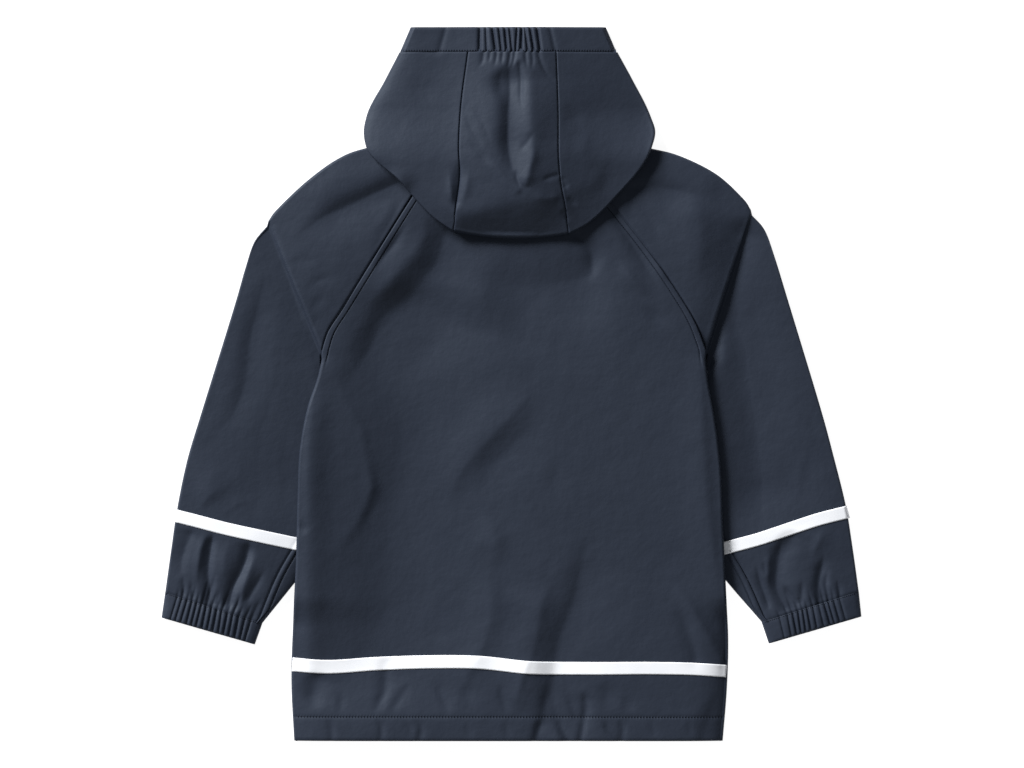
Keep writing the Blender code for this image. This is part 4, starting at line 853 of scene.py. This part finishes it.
HOOD_CREASES = [
    (28, 8, -6.2, 1.7, 0.2, 0.4, [
        (-1, 293), (-0.5, 278), (-0.5, 260), (-1.5, 242), (-2, 224), (-1.5, 211), (1, 197), (5, 185), (11, 173)]),
    (8, 7, -3, 1.7, 0.4, 0.5, [(-6, 288), (-10, 274), (-10, 263), (-6, 250)]),
    (8, 10, 1.8, 1.8, 0.2, 0.1, [(14, 292), (16, 269), (16, 247), (17, 224), (17.5, 206), (16, 191), (13, 175)]),
    (2.2, 2.2, -1.2, 1.6, 0.1, 0.5, [(7, 292), (8.5, 274), (8.5, 256), (11, 239)]),
    (3, 3, -0.9, 1.6, 0.4, 0.4, [(21, 228), (14, 217), (6, 207)]),
    (4, 5, 1.2, 1.6, 0.4, 0.1, [(21, 220), (20, 206), (16, 191), (12, 176)]),
    (1.8, 2.2, -1.1, 1.5, 0.4, 0.4, [(4, 194), (5, 185), (8.5, 175)]),
    (3, 4, 0.8, 1.6, 0.4, 0.1, [(-25, 206), (-13, 194), (-1.5, 180), (9.5, 171)]),
    (3, 3, -0.7, 1.6, 0.4, 0.4, [(-43, 245), (-33, 224), (-23, 209)]),
    (3, 3, -0.6, 1.6, 0.4, 0.4, [(-35.5, 250), (-25.5, 234), (-18.5, 215)]),
    (3.5, 3, -0.8, 1.6, 0.4, 0.4, [(-41, 221), (-30, 209), (-17.5, 194)]),
    (14, 9, -0.9, 1.8, 0.4, 0.5, [(-97, 273), (-79, 264), (-57, 259)]),
    (2.5, 4, -2.4, 1.4, 0.4, 0.2, [(-47, 205), (-46.5, 193), (-47.5, 179), (-49, 166), (-51, 154)]),
    (3.5, 3.5, 1.1, 1.6, 0.5, 0.4, [(-56, 193), (-54.5, 177), (-53, 161)]),
    (4, 3.5, 1, 1.6, 0.5, 0.4, [(-38, 195), (-40, 178), (-44.5, 161)]),
    (2, 2.6, -1.1, 1.5, 0.4, 0.1, [(26, 182), (35, 186), (43.5, 188)]),
    (2.6, 2.6, -1.1, 1.5, 0.3, 0.3, [(43.5, 187), (47, 181), (50, 174)]),
    (2.6, 2.6, -0.9, 1.5, 0.3, 0.5, [(49, 168), (60, 160)]),
    (2.6, 2.6, -0.9, 1.5, 0.3, 0.4, [(45.5, 158), (51, 144)]),
    (5, 4, 1, 1.7, 0.4, 0.3, [(15, 169), (30, 166), (47, 169)]),
    (8, 10, 0.9, 1.8, 0.5, 0.5, [(72.5, 237.5), (65, 210.5), (70.5, 187)]),
    (8, 8, 0.7, 1.8, 0.5, 0.5, [(58, 173), (70.5, 178), (85, 198)]),
    (9, 7, -0.7, 1.8, 0.5, 0.5, [(45.5, 236), (56, 239.5), (69, 245)]),
    (2.2, 2.4, -1.3, 1.5, 0, 0.6, [(-25, 301), (-26, 291), (-30, 283)]),
    (1.6, 1.6, -1, 1.5, 0, 0.6, [(-19, 301), (-20, 292), (-22, 287)]),
    (1.6, 1.6, -1.2, 1.5, 0, 0.6, [(-13, 301), (-14, 292), (-16, 284)]),
    (1.6, 1.6, -1.2, 1.5, 0, 0.6, [(-7.5, 301), (-8.5, 293), (-9, 285)]),
    (1.8, 1.8, -1.6, 1.5, 0, 0.6, [(-1, 301), (-2, 290), (-5, 282)]),
    (1.6, 1.6, -1.4, 1.5, 0, 0.6, [(3.5, 301), (2, 291), (-1, 282)]),
    (1.8, 1.6, -1.3, 1.5, 0, 0.6, [(12.5, 301), (13, 291), (15, 282)]),
    (1.8, 1.8, -1.2, 1.5, 0, 0.6, [(18, 301), (19, 291), (18, 281)]),
    (2.4, 2.4, -1.4, 1.5, 0, 0.6, [(23.5, 301), (26.5, 289), (32, 279), (41, 271)]),
    (3.5, 3, -0.7, 1.6, 0, 0.5, [(-79, 300.5), (-70.5, 299), (-59, 297)]),
]


def hood_rim(y):
    """The height of the hood's face just inside its rolled edge, which steps up onto the shoulders."""
    return HOOD_EDGE + HOOD_BASE * soft_step(250.0, 198.0, y)


def hood_top(x, y):
    """The height of the hood's outer face at (x, y)."""
    left, right = (curve(HOOD_OUTLINE[side])(np.linspace(0.0, 1.0, 40)) for side in OUTWARD)
    outline = np.vstack([left, right[::-1]])
    away = np.full(x.shape, FAR)
    above = np.full(x.shape, FAR)
    for start, end in zip(outline[:-1], outline[1:]):
        beside = beside_line(x, y, start, end)
        away = np.minimum(away, beside)
        if start[1] < HOOD_LOWER:
            above = np.minimum(above, beside)
    crown = BRIM_CROWN + (HOOD_CROWN - BRIM_CROWN) * soft_step(BRIM_SEAM + 20.0, 225.0, y)
    across = curve(HOOD_ACROSS)(np.linspace(0.0, 1.0, 200))
    share = np.interp(x, across[:, 0], across[:, 1])
    rolled = 1.0 - np.exp(-away / HOOD_ROLL) * soft_step(12.0, 40.0, above)
    fall = HOOD_FALL[0] + (HOOD_FALL[1] - HOOD_FALL[0]) * soft_step(-55.0, 20.0, x)
    fallen = above / fall - np.log1p(np.exp(7.0 * (above / fall - 1.0))) / 7.0
    height = hood_rim(y) + (crown - hood_rim(y)) * share * rolled * fallen
    return height + creased(HOOD_CREASES, x, y)


def hood_center_grid():
    """The centre strip: from the brim down over the back of the head, round the lower edge, to the neck."""
    shares = np.linspace(0.0, 1.0, STRIP_ROWS)
    start = curve(HOOD_SEAM["right"])(shares) - np.array([0.15, 0.0])
    end = curve(HOOD_SEAM["left"])(shares) + np.array([0.15, 0.0])
    inward = np.array([0.0, 0.25, 0.5, 0.9, 1.6, 2.6])
    width = np.linalg.norm(end - start, axis=1)[:, None]
    t = np.hstack([inward / width, np.broadcast_to(np.linspace(0.045, 0.955, 72), (STRIP_ROWS, 72)),
                   1.0 - inward[::-1] / width])
    x = start[:, :1] + (end - start)[:, :1] * t
    y = start[:, 1:] + (end - start)[:, 1:] * t
    y = y - 5.0 * shares[:, None] ** 4 * 4.0 * t * (1.0 - t)
    z = hood_top(x, y)
    beside = np.minimum(t, 1.0 - t) * width
    z -= 0.6 * np.exp(-((beside / 0.5) ** 2))
    rows = [np.column_stack([x[0], y[0] + BRIM_LAP, z[0] - 2.0]), np.column_stack([x[0], y[0] + 0.6, z[0] - 1.0])]
    rows += [np.column_stack([x[k], y[k], z[k]]) for k in range(STRIP_ROWS)]
    edge = rows[-1]
    radius = HOOD_EDGE / 2
    for angle in HOOD_TURN:
        rows.append(np.column_stack([edge[:, 0], edge[:, 1] - radius * math.sin(angle),
                                     HOOD_BASE + (edge[:, 2] - HOOD_BASE) / 2 * (1.0 + math.cos(angle))]))
    neck = NECK_LINE - neck_dip(edge[:, 0])
    for share in np.linspace(0.0, 0.92, 16):
        rows.append(np.column_stack([edge[:, 0], edge[:, 1] + (neck - edge[:, 1]) * share,
                                     np.full(len(edge), HOOD_BASE)]))
    rows.append(np.column_stack([edge[:, 0], neck + 0.3, np.full(len(edge), NECK_CROWN + 0.4)]))
    return np.array(rows)


def hood_side_grid(side):
    """A side panel: from its seam over to the rolled edge, then back beneath to the face or the neck."""
    out = OUTWARD[side]
    table = np.array(HOOD_ROWS)
    knots = np.arange(len(table))
    fine = np.linspace(0.0, len(table) - 1.0, 130)
    shares = np.column_stack([np.interp(fine, knots, table[:, k]) for k in range(4)])
    seam = curve(HOOD_SEAM[side])(shares[:, 0]) + np.array([out * 0.3, 0.0])
    rim = curve(HOOD_OUTLINE[side])(shares[:, 1]) + np.array([out * 0.6, 0.0])
    end = np.column_stack([HOOD_MIDDLE + out * shares[:, 2], shares[:, 3]])
    radius = HOOD_EDGE / 2
    rows = []
    for k in range(len(fine)):
        width = float(np.linalg.norm(rim[k] - seam[k]))
        along = (rim[k] - seam[k]) / width
        s = np.concatenate([[-3.0, -1.6, -0.6, -0.1, 0.25, 0.7, 1.3, 2.4],
                            np.linspace(4.0, width - FOLD * radius, 60)])
        x = seam[k, 0] + along[0] * s
        y = seam[k, 1] + along[1] * s
        z = hood_top(x, y) - 1.5 * soft_step(0.9, -0.4, s)
        low = float(hood_rim(rim[k, 1])) - HOOD_EDGE
        height = z[-1] - low
        s_turn = width - FOLD * radius * (1.0 - np.sin(HOOD_TURN))
        x_turn = seam[k, 0] + along[0] * s_turn
        y_turn = seam[k, 1] + along[1] * s_turn
        z_turn = low + height / 2 * (1.0 + np.cos(HOOD_TURN))
        bottom = seam[k] + along * (width - radius)
        under = np.linspace(0.0, 1.0, 12)[:, None]
        flat = bottom + (end[k] - bottom) * under
        rows.append(np.column_stack([np.concatenate([x, x_turn, flat[:, 0]]),
                                     np.concatenate([y, y_turn, flat[:, 1]]),
                                     np.concatenate([z, z_turn, np.full(12, low)])]))
    lap = []
    for up, down in ((BRIM_LAP, 2.0), (0.6, 1.0)):
        lap.append(rows[0].copy())
        lap[-1][:SIDE_TOP, 1] += up
        lap[-1][:SIDE_TOP, 2] -= down
    points = np.array(lap + rows)
    return points if side == "left" else points[:, ::-1]


points = hood_center_grid()
hood = cloth("hood_centre_strip", points, navy_cloth)
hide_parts("hood_center")
for side in OUTWARD:
    points = hood_side_grid(side)
    hood = cloth("hood_side_" + side, points, navy_cloth)
    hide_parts("hood_" + side)

# ---------------------------------------------------------------------------------------------------------
# Hood brim. A casing of doubled cloth round the face opening, gathered in its middle by an elastic and
# folded under at both corners.

BRIM_TOP = 321.3
BRIM_FLARE = 9.6
BRIM_CORNER = {"left": (-90.9, 321.3), "right": (85.1, 321.3)}
BRIM_THICKNESS = 1.8
BRIM_EDGE = 7.0
# Gathers: place across, half width, depth, and lean to the right at the top.
BRIM_GATHERS = [
    (-28.5, 1.7, 2.4, 0.5), (-22.5, 1.3, 1.6, -1.0), (-15.5, 1.5, 3.0, -3.0), (-10.0, 1.2, 2.4, -2.5),
    (-5.0, 1.2, 2.8, -2.0), (-0.5, 1.1, 2.2, -2.5), (4.5, 1.1, 2.2, 1.5), (9.0, 1.4, 3.2, 1.0), (13.5, 1.2, 2.4, -3.0),
    (18.5, 1.2, 3.0, -3.5), (24.5, 1.4, 2.8, -3.0), (37.0, 1.8, 1.2, -5.0), (-62.0, 2.6, 0.9, 6.0),
]


def brim_grid():
    """The brim's outer face: under the left corner, over the top, and under the right corner."""
    rows = []
    for across in np.concatenate([[0.0, 0.03, 0.07, 0.12], np.linspace(0.18, 0.94, 14), [0.98, 1.0]]):
        y = BRIM_SEAM + 0.3 + (BRIM_TOP - BRIM_SEAM - 0.3) * across
        left = BRIM_CORNER["left"][0] - BRIM_FLARE * (1.0 - across) + BRIM_EDGE / 2
        right = BRIM_CORNER["right"][0] + BRIM_FLARE * (1.0 - across) - BRIM_EDGE / 2
        share = np.concatenate([np.linspace(0.0, 0.30, 40), np.linspace(0.302, 0.70, 150),
                                np.linspace(0.707, 1.0, 40)])
        x = left + (right - left) * share
        seam = np.full(len(x), BRIM_SEAM)
        sewn_height = hood_top(x, seam) - creased(HOOD_CREASES, x, seam)
        edge_height = BRIM_EDGE + 0.62 * (sewn_height - BRIM_EDGE)
        z = sewn_height + (edge_height - sewn_height) * across
        for place, wide, deep, lean in BRIM_GATHERS:
            z -= deep * np.exp(-np.abs((x - place - lean * (across - 0.5)) / wide) ** 1.5)
        z -= 0.3 * math.exp(-((across / 0.05) ** 2)) + 1.0 * float(soft_step(0.93, 1.0, across))
        top = np.column_stack([x, np.full(len(x), y), z])
        parts = {}
        for side, out in OUTWARD.items():
            free = np.array(BRIM_CORNER[side])
            sewn = np.array([free[0] + out * BRIM_FLARE, BRIM_SEAM + 0.3])
            fold = sewn + (free - sewn) * across
            radius = BRIM_EDGE / 2
            round_x = fold[0] - out * radius * (1.0 - np.sin(ROUND_EDGE))
            rolled = np.column_stack([round_x, np.full(8, fold[1]), radius * (1.0 + np.cos(ROUND_EDGE))])
            low = np.array([out * 0.5, 196.5 + across * 31.5])
            high = fold - np.array([out * radius, 0.0])
            value = np.linspace(1.0, 0.0, 24)[:, None]
            flat = low + (high - low) * value
            under = np.column_stack([flat, np.zeros(24)])
            parts[side] = np.vstack([rolled, under])
        rows.append(np.vstack([parts["left"][::-1], top, parts["right"]]))
    return np.array(rows)


points = brim_grid()
brim = cloth("hood_brim_casing", points, navy_cloth, thickness=BRIM_THICKNESS)
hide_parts("hood_brim")
stitching("brim_stitches", points, [[(-97.0, 300.0), (0.0, 300.0), (92.0, 300.0)]], 2.4, (1.5, 0.6, 0.5))

# ---------------------------------------------------------------------------------------------------------
# Reflective tapes. Silver-white retroreflective tape of glass beads on cloth, sewn flat across the back and
# round both sleeves above the cuffs.


def reflective_tape():
    finish = Finish("reflective_tape", {"Roughness": 0.55, "Specular IOR Level": 0.4})
    place = finish.place()
    streaks = finish.noise(place, 60.0, 3.0)
    beads = finish.noise(place, 2600.0, 1.0, 0.6)
    dull = (0.80, 0.83, 0.88, 1.0)
    bright = (0.93, 0.94, 0.97, 1.0)
    finish.put(finish.shader.inputs["Base Color"], finish.mix(streaks * 0.9 + beads * 0.3, dull, bright))
    finish.put(finish.shader.inputs["Roughness"], 0.5 + beads * 0.15)
    finish.put(finish.shader.inputs["Normal"], finish.bump(beads, 0.00003, 0.4))
    return finish.material


# Points along the middle of each tape.
BODY_TAPE = [(-197.5, -252.5), (-170.0, -254.6), (-120.0, -251.8), (-76.0, -250.2), (-30.0, -250.4), (16.0, -255.0),
             (70.0, -255.8), (130.0, -255.6), (165.0, -256.4), (193.5, -258.4)]
SLEEVE_TAPES = {
    "left": [(-303.0, -118.5), (-285.0, -123.0), (-258.0, -130.0), (-228.0, -136.6), (-190.6, -144.6)],
    "right": [(188.6, -148.6), (222.0, -139.8), (250.0, -130.5), (276.0, -122.0), (303.5, -115.0)],
}
BODY_TAPE_WIDE = (12.4, 11.0)  # at its left and right end
SLEEVE_TAPE_WIDE = (11.4, 11.4)
TAPE_THICKNESS = 0.5
tape_finish = reflective_tape()


def tape_grid(panel, middle, wide, count):
    """A tape's outer face, laid on a panel along a line."""
    shares = np.linspace(0.0, 1.0, count)
    line = curve(middle)(shares)
    run = np.gradient(line, axis=0)
    run = run / np.linalg.norm(run, axis=1, keepdims=True)
    normal = np.column_stack([-run[:, 1], run[:, 0]])
    width = (wide[0] + (wide[1] - wide[0]) * shares)[:, None]
    plan = np.array([line + normal * width * across for across in np.linspace(-0.5, 0.5, 11)])
    z = lie_on(panel, plan[..., 0], plan[..., 1])
    smooth = z.copy()
    for _ in range(3):
        smooth[:, 1:-1] = (smooth[:, :-2] + smooth[:, 1:-1] + smooth[:, 2:]) / 3.0
    smooth = np.maximum(smooth, z)
    flat = smooth.mean(axis=0, keepdims=True)
    return np.dstack([plan, 0.5 * np.maximum(smooth, flat) + 0.5 * smooth + 0.5])


points = tape_grid(back_points, BODY_TAPE, BODY_TAPE_WIDE, 220)
tape = cloth("body_tape", points, tape_finish, thickness=TAPE_THICKNESS)
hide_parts("tape_body")
for side in OUTWARD:
    points = tape_grid(sleeves[side], SLEEVE_TAPES[side], SLEEVE_TAPE_WIDE, 90)
    tape = cloth("sleeve_tape_" + side, points, tape_finish, thickness=TAPE_THICKNESS)
    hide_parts("tape_sleeve_" + side)

# ---------------------------------------------------------------------------------------------------------
# Surface, light and camera. A plain pale table under a large soft light low at the upper left, with a weak
# one near the hem, seen from straight above through a long lens.

bpy.ops.mesh.primitive_plane_add(size=8.0, location=(0.0, 0.0, -0.0002))
floor = bpy.context.object
floor.name = "pale_table"
pale = Finish("pale_table", {"Base Color": (0.40, 0.40, 0.40, 1.0), "Roughness": 0.9,
                             "Emission Color": (1.0, 1.0, 1.0, 1.0), "Emission Strength": 0.92})
floor.data.materials.append(pale.material)

world = bpy.data.worlds.new("Studio")
world.use_nodes = True
world.node_tree.nodes["Background"].inputs[0].default_value = (0.95, 0.97, 1.0, 1.0)
world.node_tree.nodes["Background"].inputs[1].default_value = 0.14
bpy.context.scene.world = world


def softbox(name, place, aim, size, power):
    light = bpy.data.lights.new(name, "AREA")
    light.shape = "RECTANGLE"
    light.size, light.size_y = size
    light.energy = power
    holder = bpy.data.objects.new(name, light)
    bpy.context.scene.collection.objects.link(holder)
    holder.location = place
    holder.rotation_euler = (Vector(aim) - Vector(place)).to_track_quat("-Z", "Y").to_euler()


softbox("key", (-15.9, 15.1, 9.8), (0.0, 0.0, 0.0), (10.0, 8.0), 12600.0)
softbox("fill", (0.7, -2.3, 2.0), (0.0, -0.25, 0.0), (1.8, 1.4), 12.0)

camera = bpy.data.cameras.new("camera")
camera.sensor_width = 36.0
camera.lens = 240.0
holder = bpy.data.objects.new("camera", camera)
bpy.context.scene.collection.objects.link(holder)
holder.location = (0.00045, 0.0, 6.154)
camera.clip_end = 50.0
bpy.context.scene.camera = holder
bpy.context.scene.view_settings.view_transform = "Standard"
